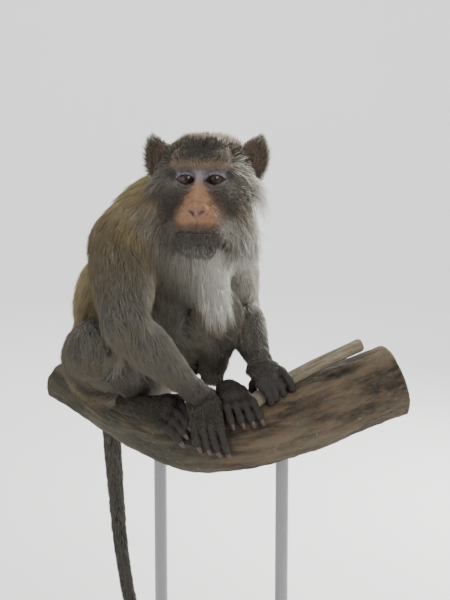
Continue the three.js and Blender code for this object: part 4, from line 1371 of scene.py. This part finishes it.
weights = part_weights(body_roots)
body_normals = unit(gradient(body_field, body_roots))
share, facing = trunk_share(body_roots), body_normals @ ahead
ending = limb_ends(body_roots, weights)
count = len(body_roots)
length = sum(w * part.length for part, w in zip(BODY_PARTS, weights)) * rng.uniform(0.75, 1.2, count)
rise = sum(w * part.rise for part, w in zip(BODY_PARTS, weights)) * rng.uniform(0.45, 1.0, count)
length, rise = length * (1 - 0.3 * ending), rise * (1 - 0.65 * ending)
front = weights[0] * chest_share(body_roots, body_normals)
tint = mix(body_colour(body_roots, body_normals, weights), DARK_FUR, 0.8 * ending)
band = np.clip(1 - 1.2 * front, 0, 1) * (0.35 + 0.55 * weights[0]) * (1 - ending)
hang = 0.3 + 0.4 * front + 0.6 * ending
print("hair of the body from", round(float(length.min())), "to", round(float(length.max())), "mm")

# %% Pieces of the body's coat
owner = weights.argmax(0)
groups = {}
for i, part in enumerate(BODY_PARTS):
    groups.setdefault(part.name, np.zeros(len(body_roots), bool))
    groups[part.name] |= owner == i
on_trunk = groups.pop("trunk")
fore = on_trunk & (facing > 0.0) & (share > 0.1)
behind = on_trunk & ~fore
trunk_groups = {
    "chest": fore, "back_upper": behind & (share > 0.62),
    "back_middle": behind & (share <= 0.62) & (share > 0.12), "rump": behind & (share <= 0.12),
}
short = np.any([mask for name, mask in groups.items() if name.startswith(SHORT_HAIRED)], axis=0)
PASSES = (  # which tufts, where rings lie, how far and how many gather, half the width
    (short, SHORT, 0.5, 10, 0.48), (~short, MEDIUM, 0.66, 17, 0.47),
)
for kind, shares, clump, group, half in PASSES:
    grown = centre_lines(
        body_field, body_roots[kind], body_lie, length[kind], rise[kind], shares, hang[kind], clump,
        group=group
    )
    for name, mask in (groups | trunk_groups).items():
        if not (mask & kind).any():
            continue
        box = body_roots[mask].min(0), body_roots[mask].max(0)
        chart = unrolled(body_roots[mask], *((HIPS, SHOULDERS) if name in trunk_groups else box))
        width = half * rng.uniform(0.75, 1.25, int(mask.sum()))
        lines, normals = grown[mask[kind]], body_normals[mask]
        made = tuft_mesh("coat_" + name, lines, normals, width, tint[mask], band[mask], chart, hair)
        "pale_fur" if name == "chest" else "grey_fur" if name.startswith(SHORT_HAIRED) else "brown_fur"


# %% [markdown]
# ## Head coat
#
# Hair on the face is a few millimetres long and lies away from the muzzle. It grows longer over the crown,
# longest on the ruff, which sweeps out, down and back from the cheeks, and hangs free under the chin.

# %% Lie and density on the head
FACE_MIDDLE = vec(0, 38, -14)


def head_lie(q):
    """Away from the middle of the face; on the ruff out to the side, down and back."""
    way = unit(q - FACE_MIDDLE)
    side = np.sign(q[:, :1])
    ruff = face_masks(q)["ruff"][:, None] * step(14, 30, np.abs(q[:, 0]))[:, None]
    swept = np.hstack([side * 0.75, np.full_like(side, -0.35), np.full_like(side, -0.7)])
    low = step(-5, -45, q[:, 2])[:, None]
    return way * (1 - ruff) + swept * ruff - up * 0.7 * low + waver(q * 1.6) * 0.6


def head_density(q):
    """Tufts in each square millimetre, fewer where the face is bare and none inside the neck."""
    m = face_masks(q)
    soft = np.maximum(m["muzzle"] * 0.7, m["bridge"] * 0.85)
    bare = np.maximum.reduce([soft, m["lids"] * 0.93, m["lips"] * 0.4, m["nose"] * 0.98, m["rim"], m["seam"]])
    buried = step(-70, -84, q[:, 1]) * step(0, -30, q[:, 2])
    return (0.88 + 0.3 * m["disc"] + 0.12 * m["ruff"]) * (1 - bare) * (1 - buried)


head_roots = scatter(head_points, head_faces, head_density)
print("roots on the head", len(head_roots))

# %% How long the head's coat is
out, forth, high = np.abs(head_roots[:, 0]), head_roots[:, 1], head_roots[:, 2]
masks = face_masks(head_roots)
ruff, disc = masks["ruff"], masks["disc"]
vary = rng.uniform(0.75, 1.2, len(head_roots))
flank, middle = step(20, 32, out), 1 - 0.7 * step(0, 24, out)
hanging = step(-58, -70, high) * step(1.5, 1.0, oval(out, high, 30, 22, high=-56))
top_side = step(6, 18, out) * step(22, 34, high) * step(-75, -50, forth)
beside_ear = step(25, 33, out) * step(-52, -40, forth) * step(2, -14, forth) * step(22, 8, high)
length = 17 + 4 * flank + 18 * ruff * flank + 8 * ruff
length = (length + (4.6 - length) * disc) * vary
loose = 12 * hanging * middle * rng.uniform(0.3, 1.25, len(head_roots))
length = length + 3.5 * masks["corner"] * vary + loose
length += 3.0 * top_side * vary
length += 9 * beside_ear * vary
close_lying = [masks[name] for name in ("muzzle", "lids", "bridge", "lips")]
length *= 1 - 0.55 * np.maximum.reduce([0.7 * masks["brow"], *close_lying])
rise = 10.0 + 3.0 * flank + 6.0 * flank * step(14, 26, high) + 5.0 * top_side
rise = rise + 10.0 * ruff * flank + 8 * beside_ear
rise = (rise + (1.5 - rise) * disc + 8.0 * hanging) * rng.uniform(0.5, 1.0, len(head_roots))
rise *= 1 - 0.6 * np.maximum(masks["muzzle"], masks["brow"])
print("hair of the head from", round(float(length.min()), 1), "to", round(float(length.max())), "mm")

# %% Pieces of the head's coat
blur = rng.normal(0, 1, head_roots.shape) * (2.3 + 3.5 * hanging)[:, None] * [1, 0, 1]
tint = head_colour(head_roots + blur)
band = 0.8 * (1 - disc) * (1 - ruff) * (1 - masks["beard"])
hang = np.clip(0.25 + 0.45 * ruff + 0.7 * hanging, 0, 0.95)
head_normals = unit(gradient(head_field, head_roots))
head_chart = unrolled(head_roots, vec(0, -20, -80), vec(0, -20, 60))
short, low, left = length < 8, high <= 4, head_roots[:, 0] >= 0
HEAD_PIECES = (  # name, which tufts, where rings lie, how far and how many gather, half the width
    ("face", short, SHORT, 0.45, 11, 0.3),
    ("crown", ~short & ~low, MEDIUM, 0.6, 14, 0.35),
    ("ruff_right", ~short & low & ~left, MEDIUM, 0.6, 16, 0.34),
    ("ruff_left", ~short & low & left, MEDIUM, 0.6, 16, 0.34),
)


def world_lines(lines):
    return from_head(lines.reshape(-1, 3)).reshape(lines.shape)


for name, mask, shares, clump, group, half in HEAD_PIECES:
    lines = world_lines(centre_lines(
        head_field, head_roots[mask], head_lie, length[mask], rise[mask], shares, hang[mask], clump,
        fall=0.05, group=group
    ))
    width = half * rng.uniform(0.75, 1.25, int(mask.sum()))
    normals = head_normals[mask] @ HEAD_AXES
    made = tuft_mesh("coat_" + name, lines, normals, width, tint[mask], band[mask], head_chart[mask], hair)


# %% [markdown]
# ## Fur of ears and paws
#
# An ear is furred on its back and rim, with a pale fringe round the edge that is whitened where it faces
# back, as painted rim light, and nearly bare in its cup. The backs of hands and feet carry short dark hair
# that thins out before the fingers and stays off the palms.

# %% Fur of the ears
EAR_HAIR = {"density": 0.85, "length": 9.0, "rise": 3.5, "half": 0.23}

for side in (-1, 1):
    points, faces = ear_meshes[side]
    centre = vec(side * (EAR["out"] - 3), EAR["back"], EAR["high"] - 6)

    def ear_lie(q, centre=centre):
        return unit(q - centre) + vec(0, -0.15, 0.25)

    def ear_density(q, centre=centre, field=ear_fields[side]):
        cup = np.hypot((q[:, 0] - centre[0]) / 11, (q[:, 2] - centre[2] - 6) / 20)
        inner = step(1.0, 0.75, cup) * step(0.0, 0.4, unit(gradient(field, q))[:, 1])
        return EAR_HAIR["density"] * (1 - 0.75 * inner)

    roots = scatter(points, faces, ear_density)
    outside = np.abs(roots[:, 0]) > 30
    roots = roots[outside]
    normals = unit(gradient(ear_fields[side], roots))
    count = len(roots)
    far = np.hypot((roots[:, 0] - centre[0]) / 14, (roots[:, 2] - centre[2] - 6) / 24)
    edge = step(0.7, 1.1, far)
    size = EAR_HAIR["length"] * (0.6 + 0.55 * edge) * rng.uniform(0.6, 1.25, count)
    height = np.full(count, EAR_HAIR["rise"]) * rng.uniform(0.4, 1, count)
    lines = world_lines(centre_lines(
        ear_fields[side], roots, ear_lie, size, height, SHORT, 0.35 + 0.5 * edge, 0.45,
        fall=0.02, spread=0.3, group=8, sink=0.4
    ))
    sideways = np.hypot(normals[:, 0], normals[:, 2])
    # a pale fringe round the edge, made near white where the edge faces back, as painted rim light
    fringe = step(0.7, 0.95, far) * step(0.55, 0.9, sideways) * step(-0.8, -0.3, normals[:, 1])
    tints = mix(plain(RIM * 0.65, roots), WHITE, fringe * 0.85)
    chart = unrolled(roots, centre - vec(0, 0, 30), centre + vec(0, 0, 30))
    name = "coat_ear_right" if side < 0 else "coat_ear_left"
    width = EAR_HAIR["half"] * rng.uniform(0.75, 1.25, count)
    made = tuft_mesh(name, lines, normals @ HEAD_AXES, width, tints, np.zeros(count), chart, hair)


# %% Fur of the hands and feet
PAW_HAIR = {"density": 0.5, "length": 8.0, "rise": 1.8, "half": 0.38}


def held_branch(name):
    return TWIG if name == "hand_left" else PERCH


for name, paw in PAWS.items():
    (points, faces), field = paw_meshes[name], paw_fields[name]
    near = paw["from"][1]
    tips = np.array([path[-1] for path in paw["digits"][:4]])
    way = unit(tips.mean(0) - near)
    reach = float(np.linalg.norm(tips.mean(0) - near))
    axis = along_curve(held_branch(name), np.linspace(0, 1, 60))

    def paw_density(p, field=field, near=near, way=way, reach=reach, axis=axis):
        share = (p - near) @ way / reach
        out = p - axis[np.argmin(((p[:, None, :] - axis[None]) ** 2).sum(2), 1)]
        outward = (unit(gradient(field, p)) * unit(out)).sum(1)
        return PAW_HAIR["density"] * step(0.85, 0.5, share) * step(-0.45, 0.15, outward)

    def paw_lie(p, way=way):
        return np.broadcast_to(way, p.shape) + waver(p)

    roots = scatter(points, faces, paw_density)
    count = len(roots)
    share = np.clip((roots - near) @ way / reach, 0, 1)
    size = PAW_HAIR["length"] * (1.25 - 0.9 * share) * rng.uniform(0.7, 1.2, count)
    rise = np.full(count, PAW_HAIR["rise"]) * (1.2 - share) * rng.uniform(0.4, 1, count)
    lines = centre_lines(
        field, roots, paw_lie, size, rise, SHORT, np.full(count, 0.2), 0.5, spread=0.25, sink=0.5
    )
    tints = mix(plain(DARK_FUR * 1.1, roots), DARK_FUR * 0.75, step(0.0, 0.5, share))
    chart = unrolled(roots, near, tips.mean(0))
    width = PAW_HAIR["half"] * rng.uniform(0.75, 1.25, count)
    normals = unit(gradient(field, roots))
    made = tuft_mesh("coat_" + name, lines, normals, width, tints, np.zeros(count), chart, hair)


# %% [markdown]
# ## Eyes
#
# The iris fills almost the whole opening. Each eyeball is turned rings about the line of sight, bulging at
# the cornea, and each point keeps its angle from that line, which the shader turns into pupil and iris.

# %% Eyeballs
def ring_faces(rows, columns):
    """The four-sided faces between rings of points, each ring closed on itself."""
    i, j = np.meshgrid(np.arange(rows - 1), np.arange(columns), indexing="ij")
    a, b = i * columns + j, i * columns + (j + 1) % columns
    return np.stack([a, b, b + columns, a + columns], -1).reshape(-1, 4)


def eyeball(side, material):
    """Rings from the middle of the pupil to the back of the eye."""
    gaze = unit((camera_place - EYES) @ HEAD_AXES.T)
    across = unit(np.cross(gaze, up))
    over = np.cross(across, gaze)
    angles, turns = np.linspace(0, np.pi, 44), np.linspace(0, 2 * np.pi, 56, endpoint=False)
    radius = EYE["radius"] - 0.15 + 0.9 * np.exp(-((angles / 0.5) ** 2))
    a, b = np.meshgrid(angles, turns, indexing="ij")
    outward = np.cos(b)[..., None] * across + np.sin(b)[..., None] * over
    way = np.cos(a)[..., None] * gaze + np.sin(a)[..., None] * outward
    points = vec(side * EYE["apart"], EYE["depth"], 0) + way * radius[:, None, None]
    name = "eyeball_right" if side < 0 else "eyeball_left"
    made = mesh_object(name, from_head(points.reshape(-1, 3)), ring_faces(*a.shape), material)
    give(made, "iris", a.ravel())
    close_and_turn(made)
    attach(made, "root")
    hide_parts("eye_right" if side < 0 else "eye_left")
    print(name, "faces", len(made.data.polygons))


# %% The finish of the eye
eye_finish, place, plug_in = finish(
    "wet_eye", Roughness=0.3, Specular_IOR_Level=0.1, Coat_Weight=0.6, Coat_Roughness=0.02
)
angle = attribute(place, "iris")
fibres = place.noise(900.0, 2.0)
stops = [
    (0.0, (0.003, 0.002, 0.002)), (0.17, (0.003, 0.002, 0.002)), (0.2, (0.022, 0.012, 0.007)),
    (0.4, (0.042, 0.024, 0.012)), (0.47, (0.020, 0.011, 0.007)), (0.53, (0.022, 0.014, 0.010)),
    (0.62, (0.075, 0.052, 0.042)), (1.0, (0.11, 0.08, 0.07)),
]
iris = (angle / 1.25).node("ShaderNodeValToRGB", {"Fac": angle / 1.25}, {"stops": stops})
plug_in("Base Color", iris.scaled(0.7 + 0.6 * fibres))
for side in (-1, 1):
    eyeball(side, eye_finish)


# %% [markdown]
# ## Nails
#
# Twenty nails are one small curved plate repeated. A node tree puts the plate on a point at each fingertip,
# turned by the angles stored there and with a slightly random size, and the result is made a plain mesh.

# %% One nail
def nail_plate():
    rows, columns, made = 7, 7, bmesh.new()
    grid = []
    for i in range(rows):
        for j in range(columns):
            t, u = i / (rows - 1), 2 * j / (columns - 1) - 1
            wide = 2.7 * (1 - 0.35 * t**3) * (1 - 0.12 * (1 - t))
            round_end = 0.9 * (1 - u * u)
            x, y, z = u * wide, t * 6.2 + round_end * t, 1.1 - 1.25 * u * u - 1.1 * t * t
            grid.append(made.verts.new(np.array((x, y, z)) * MM))
    for i in range(rows - 1):
        for j in range(columns - 1):
            a = i * columns + j
            made.faces.new((grid[a], grid[a + 1], grid[a + columns + 1], grid[a + columns])).smooth = True
    shell = bmesh.ops.extrude_face_region(made, geom=list(made.faces))
    moved = [v for v in shell["geom"] if isinstance(v, bmesh.types.BMVert)]
    bmesh.ops.translate(made, verts=moved, vec=(0, 0, -0.55 * MM))
    bmesh.ops.recalc_face_normals(made, faces=made.faces)
    mesh = bpy.data.meshes.new("nail_plate")
    made.to_mesh(mesh)
    made.free()
    plate = bpy.data.objects.new("nail_plate", mesh)
    bpy.context.collection.objects.link(plate)
    return plate


plate = nail_plate()
print("faces of a nail", len(plate.data.polygons))

# %% A tree that puts a nail on each point
def nail_tree(material):
    tree = bpy.data.node_groups.new("nails_on_digits", "GeometryNodeTree")
    tree.interface.new_socket("Geometry", in_out="INPUT", socket_type="NodeSocketGeometry")
    tree.interface.new_socket("Plate", in_out="INPUT", socket_type="NodeSocketObject")
    tree.interface.new_socket("Least size", in_out="INPUT", socket_type="NodeSocketFloat")
    tree.interface.new_socket("Seed", in_out="INPUT", socket_type="NodeSocketInt")
    tree.interface.new_socket("Geometry", in_out="OUTPUT", socket_type="NodeSocketGeometry")
    given, result = tree.nodes.new("NodeGroupInput"), tree.nodes.new("NodeGroupOutput")
    plate = tree.nodes.new("GeometryNodeObjectInfo")
    place = tree.nodes.new("GeometryNodeInstanceOnPoints")
    realize = tree.nodes.new("GeometryNodeRealizeInstances")
    turn = tree.nodes.new("GeometryNodeInputNamedAttribute")
    chance = tree.nodes.new("FunctionNodeRandomValue")
    paint = tree.nodes.new("GeometryNodeSetMaterial")
    turn.data_type = "FLOAT_VECTOR"
    turn.inputs["Name"].default_value = "turn"
    chance.data_type = "FLOAT"
    chance.inputs[3].default_value = 1.08
    paint.inputs["Material"].default_value = material
    link = tree.links.new
    link(given.outputs["Geometry"], place.inputs["Points"])
    link(given.outputs["Plate"], plate.inputs["Object"])
    link(plate.outputs["Geometry"], place.inputs["Instance"])
    link(turn.outputs["Attribute"], place.inputs["Rotation"])
    link(given.outputs["Least size"], chance.inputs[2])
    link(given.outputs["Seed"], chance.inputs["Seed"])
    link(chance.outputs[1], place.inputs["Scale"])
    link(place.outputs["Instances"], realize.inputs["Geometry"])
    link(realize.outputs["Geometry"], paint.inputs["Geometry"])
    link(paint.outputs["Geometry"], result.inputs["Geometry"])
    return tree


material, place, plug_in = finish("nail_horn", Roughness=0.38)
streaks = place.noise(420.0, 2.0)
plug_in("Base Color", streaks.blend(tuple(rgb("#2b2523")), tuple(rgb("#4b413b"))))
tree = nail_tree(material)
print("nodes in the tree of the nails", len(tree.nodes))

# %% Nails on the fingertips
def nails(plate, tree):
    spots, turns = [], []
    for name, paw in PAWS.items():
        middle = along_curve(held_branch(name), np.linspace(0, 1, 120))
        for path in paw["digits"]:
            along, tip = tangents(path, 0.97)[0], np.array(path[-1])
            out = tip - middle[np.argmin(((middle - tip) ** 2).sum(1))]
            out = unit(out - along * (along @ out))
            spots.append((tip + out * paw["size"] * 0.62 - along * 3.2) * MM)
            turns.append(Matrix(np.stack([np.cross(along, out), along, out], 1).tolist()).to_euler())
    mesh = bpy.data.meshes.new("nail_spots")
    mesh.from_pydata([tuple(s) for s in spots], [], [])
    layer = mesh.attributes.new("turn", "FLOAT_VECTOR", "POINT")
    layer.data.foreach_set("vector", np.array([tuple(t) for t in turns], np.float32).ravel())
    carrier = bpy.data.objects.new("nail_spots", mesh)
    bpy.context.collection.objects.link(carrier)
    modifier = carrier.modifiers.new("nails", "NODES")
    modifier.node_group = tree
    keys = {item.name: item.identifier for item in tree.interface.items_tree if item.in_out == "INPUT"}
    modifier[keys["Plate"]], modifier[keys["Least size"]], modifier[keys["Seed"]] = plate, 0.9, 4
    made = bpy.data.meshes.new_from_object(carrier.evaluated_get(bpy.context.evaluated_depsgraph_get()))
    piece = bpy.data.objects.new("nails", made)
    bpy.context.collection.objects.link(piece)
    for spare in (carrier, plate):
        bpy.data.objects.remove(spare)
    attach(piece, "root")
    print("nails", len(spots), "faces", len(made.polygons))


nails(plate, tree)

# %% [markdown]
# ## Skin
#
# The skin is one object made of the head, body, hands, feet and ears. Where fur covers it, it is dark, so
# that gaps between tufts read as shade. Where it is bare, fine wrinkles and pores break up the light.

# %% The finish of skin
skin_material, place, plug_in = finish("skin", Specular_IOR_Level=0.22)
tint_wire = attribute(place, "tint", "Color")
pores, creases = place.noise(1400.0, 2.0, 0.6), place.noise(480.0, 4.0, 0.6)
mottle = place.noise(120.0, 3.0)
plug_in("Base Color", tint_wire.scaled(0.84 + 0.2 * mottle + 0.12 * creases))
plug_in("Roughness", 0.58 + 0.28 * creases)
plug_in("Normal", pores.bump(pores * 0.5 + creases, 0.0004, 0.6))
print("nodes in the skin's finish", len(skin_material.node_tree.nodes))

# %% One skin
chunks = [(from_head(head_points), head_faces[:, ::-1]), (body_points, body_faces)]
chunks += list(paw_meshes.values()) + [(from_head(p), f[:, ::-1]) for p, f in ear_meshes.values()]
starts = np.cumsum([0] + [len(p) for p, f in chunks])
skin_points = np.concatenate([p for p, f in chunks])
skin_faces = np.concatenate([f + n for (p, f), n in zip(chunks, starts)])
skin = mesh_object("skin", skin_points, skin_faces, skin_material)
masks = face_masks(head_points)
bare = np.maximum.reduce([masks[k] for k in ("muzzle", "lids", "lips", "nose", "bridge", "rim")])
# Under the head's fur the skin is painted at half its tone, as painted shade between the tufts; bare places
# keep it.
head_skin = head_colour(head_points) * (0.5 + 0.5 * bare)[:, None]
normals, weights = unit(gradient(body_field, body_points)), part_weights(body_points)
# The body's skin is its coat's tone at about a third, as painted shade between the tufts.
tints = [head_skin, body_colour(body_points, normals, weights) * 0.35]
tints += [plain(BARE_DARK, p) for p, f in paw_meshes.values()]
tints += [plain(EAR_SKIN, p) for p, f in ear_meshes.values()]
give(skin, "tint", np.concatenate(tints))
print("skin triangles", 2 * len(skin.data.polygons))
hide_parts(*[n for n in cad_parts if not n.startswith(("perch", "stand", "eye"))])
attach(skin, "root")

# %% [markdown]
# ## Wood
#
# The root that carries the animal is old and worn, with shallow furrows that run along it. Rings of points
# are swept along its curve, and each is pushed in by noise that is stretched along the length. The sawn
# ends are closed by rings that shrink to the middle and show the year rings.

# %% Swept wood
def furrows(way, along, seed):
    """How deep the surface lies below its ridges, from 0 to 1, for a direction round the branch."""
    broad = noise.fractal(Vector((way[0] * 1.7, way[1] * 1.7, along / 60 + seed)), 1.0, 2.0, 2)
    coarse = noise.fractal(Vector((way[0] * 4.0, way[1] * 4.0, along / 46 + seed)), 1.0, 2.0, 3)
    fine = noise.fractal(Vector((way[0] * 9.0, way[1] * 9.0, along / 22 + seed * 2)), 1.0, 2.0, 3)
    return min(max(0.42 - 0.45 * broad - 0.35 * coarse + 0.4 * (0.35 - abs(fine)), 0), 1)


def branch(name, points, radius, sides, rings, depth, material, seed):
    """Rings along a curve with furrows in them, and smaller rings that close its sawn ends."""
    shares = np.linspace(0, 1, rings)
    centres, axes = along_curve(points, shares), tangents(points, shares)
    passed = np.concatenate([[0], np.cumsum(np.linalg.norm(np.diff(centres, axis=0), axis=1))])
    turns = np.linspace(0, 2 * np.pi, sides, endpoint=False)
    closing, last = [0.0, 0.25, 0.5, 0.75, 0.93], rings - 1
    stations = [(0, c) for c in closing] + [(i, 1.0) for i in range(rings)]
    stations += [(last, c) for c in closing[::-1]]
    rows, levels, ends, radii, lays, spans = [], [], [], [], [], []
    for i, size in stations:
        top = unit(up - axes[i] * (axes[i] @ up))
        ways = np.cos(turns)[:, None] * top + np.sin(turns)[:, None] * np.cross(axes[i], top)
        low = np.array([furrows((math.cos(a), math.sin(a)), passed[i], seed) for a in turns])
        edge = 1.2 if i in (0, last) and size == 1.0 else 0
        whole = float(radius(shares[i]))
        rows.append(centres[i] + ways * ((whole - edge - depth * low) * size)[:, None])
        levels.append(low)
        ends.append(np.full(sides, float(size < 1.0 or i in (0, last))))
        radii.append(np.full(sides, size * whole))
        spans.append(np.full(sides, shares[i]))
        lay = np.stack([np.cos(turns) * whole, np.sin(turns) * whole, np.full(sides, passed[i] * 0.28)], 1)
        lays.append(lay * MM)
    made = mesh_object(name, np.concatenate(rows), ring_faces(len(rows), sides), material)
    for key, values in (("furrow", levels), ("sawn", ends), ("ring", radii), ("span", spans), ("lay", lays)):
        give(made, key, np.concatenate(values))
    close_and_turn(made)
    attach(made, "root")
    print(name, "length", round(float(passed[-1])), "mm, faces", len(made.data.polygons))
    return made


# %% The finish of wood
def wood_finish(name, ridge, valley, rust, moss, cut):
    """Bark from ridge to valley with rust and moss in patches, and year rings where it is sawn."""
    material, place, plug_in = finish(name, Specular_IOR_Level=0.3)
    furrow, sawn, ring, span = (attribute(place, key) for key in ("furrow", "sawn", "ring", "span"))
    lay = attribute(place, "lay", "Vector")
    grain, pits = lay.noise(260.0, 5.0, 0.65), place.noise(520.0, 3.0, 0.6)
    specks, patch = place.noise(1300.0, 2.0, 0.6), place.noise(26.0, 5.0, 0.65)
    cloud, fleck = place.noise(75.0, 6.0, 0.75), place.noise(160.0, 3.0, 0.6)
    bark = (furrow * 0.6 + grain * 0.7).between(0.35, 0.95).blend(ridge, valley)
    bark = (cloud.between(0.48, 0.7) * 0.6).blend(bark, rust)
    old = 1 - (span + 0.3 * patch).between(0.45, 0.8)
    bark = (patch.between(0.48, 0.66) * 0.4 + old * 0.45).blend(bark, moss)
    lichen = fleck.between(0.6, 0.74) * patch.between(0.45, 0.6)
    bark = (lichen * 0.35).blend(bark, tuple(rgb("#8d8a78")))
    bark = bark.scaled(0.3 + 0.55 * grain + 0.45 * pits + 0.45 * specks)
    wander = ring + 3.0 * patch
    years = (wander * 1.3).math("SINE", wander * 1.3) * 0.5 + 0.5
    split = lay.noise(150.0, 2.0).between(0.6, 0.68) * ring.between(3.0, 12.0)
    face = (years * 0.6 + grain * 0.4 + split).between(0.0, 1.4).blend(cut, tuple(0.3 * c for c in cut))
    face = face.scaled(0.6 + 0.5 * ring.between(2.0, 30.0) * cloud + 0.25 * pits)
    plug_in("Base Color", sawn.blend(bark, face))
    plug_in("Normal", grain.bump(grain + pits * 0.8 + specks * 0.25 + years * sawn * 0.3, 0.0022, 0.9))
    plug_in("Roughness", 0.66 + 0.25 * pits)
    return material


def tones(*codes):
    return [tuple(rgb(code)) for code in codes]


root_bark = wood_finish("weathered_root", *tones("#635645", "#231e19", "#654b37", "#44463b", "#6b5a45"))
twig_bark = wood_finish("dry_twig", *tones("#8e8471", "#4f463b", "#7d684f", "#747060", "#a8906a"))
root_piece = branch("root_length", PERCH, perch_radius, 150, 230, 3.4, root_bark, 3.0)
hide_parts("perch")
twig_piece = branch("twig_length", TWIG, twig_radius, 36, 90, 0.9, twig_bark, 8.0)
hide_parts("perch_twig")

# %% [markdown]
# ## Stand
#
# A plain museum stand: two steel rods that carry the root, each with a turned collar where it meets the
# board, and a board with rounded corners and softened edges.

# %% Rods
rod_steel, place, plug_in = finish("brushed_steel", Metallic=1.0)
fine = place.noise(300.0, 4.0)
plug_in("Base Color", fine.blend((0.24, 0.24, 0.25), (0.32, 0.32, 0.33)))
plug_in("Roughness", 0.34 + 0.2 * fine)
# a collar's profile: how much wider than the rod, and how far above the board's top
COLLAR = [(0, -0.2), (5.4, -0.2), (5.4, 3.2), (4.6, 4.2), (1.4, 4.8), (0.5, 5.8), (0, 7.0)]


def turned_rod(name):
    """A lathe profile of (radius, height) turned in 48 steps round the rod's own axis."""
    low, high = (np.array(c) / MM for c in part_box(name))
    middle, radius, steps = (low + high) / 2, (high[0] - low[0]) / 2, 48
    board = np.array(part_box("stand_base")[1])[2] / MM
    profile = [(0.01, low[2]), (radius, low[2])]
    profile += [(radius + wider, board + over) for wider, over in COLLAR]
    profile += [(radius, z) for z in np.linspace(board + 9, high[2] - 1, 24)] + [(0.01, high[2] - 0.9)]
    turns = np.linspace(0, 2 * np.pi, steps, endpoint=False)
    points = [
        (middle[0] + r * math.cos(t), middle[1] + r * math.sin(t), z) for r, z in profile for t in turns
    ]
    made = mesh_object(name + "_turned", np.array(points), ring_faces(len(profile), steps), rod_steel)
    close_and_turn(made)
    made.data.set_sharp_from_angle(angle=math.radians(35))
    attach(made, "root")
    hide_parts(name)
    print(name, "faces", len(made.data.polygons))


turned_rod("stand_rod_left")
turned_rod("stand_rod_right")

# %% Board
board_paint, place, plug_in = finish("satin_paint", Coat_Weight=0.15, Coat_Roughness=0.3)
fibre, dust = place.noise(700.0, 3.0), place.noise(9.0, 4.0)
plug_in("Base Color", (fibre * 0.5 + dust * 0.5).blend((0.028, 0.028, 0.030), (0.05, 0.049, 0.048)))
plug_in("Roughness", 0.4 + 0.25 * dust)
plug_in("Normal", fibre.bump(fibre, 0.0002, 0.4))


def board_piece():
    """A plate in metres with rounded corners, whose upper and lower edges are softened."""
    low, high = (Vector(c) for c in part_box("stand_base"))
    corner, steps, made = 0.024, 10, bmesh.new()
    ring = []
    for sx, sy, first in ((1, 1, 0), (-1, 1, 90), (-1, -1, 180), (1, -1, 270)):
        for k in range(steps + 1):
            t = math.radians(first + 90 * k / steps)
            x = (high.x if sx > 0 else low.x) - sx * corner + corner * math.cos(t)
            y = (high.y if sy > 0 else low.y) - sy * corner + corner * math.sin(t)
            ring.append(made.verts.new((x, y, low.z)))
    bottom = made.faces.new(ring[::-1])
    raised = bmesh.ops.extrude_face_region(made, geom=[bottom])
    tops = [v for v in raised["geom"] if isinstance(v, bmesh.types.BMVert)]
    bmesh.ops.translate(made, verts=tops, vec=(0, 0, high.z - low.z))
    bmesh.ops.recalc_face_normals(made, faces=made.faces)
    rim = [e for e in made.edges if abs(e.verts[0].co.z - e.verts[1].co.z) < 1e-6]
    bmesh.ops.bevel(made, geom=rim, offset=0.0022, segments=4, profile=0.5, affect="EDGES")
    mesh = bpy.data.meshes.new("stand_board")
    made.to_mesh(mesh)
    made.free()
    mesh.shade_smooth()
    mesh.set_sharp_from_angle(angle=math.radians(30))
    mesh.materials.append(board_paint)
    board = bpy.data.objects.new("stand_board", mesh)
    bpy.context.collection.objects.link(board)
    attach(board, "root")
    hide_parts("stand_base")
    print("board faces", len(mesh.polygons))


board_piece()

# %% Before closing
corners = lambda box: [[float(x) for x in corner] for corner in box]
{"cad": corners(cad_box), "visual": corners(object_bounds())}
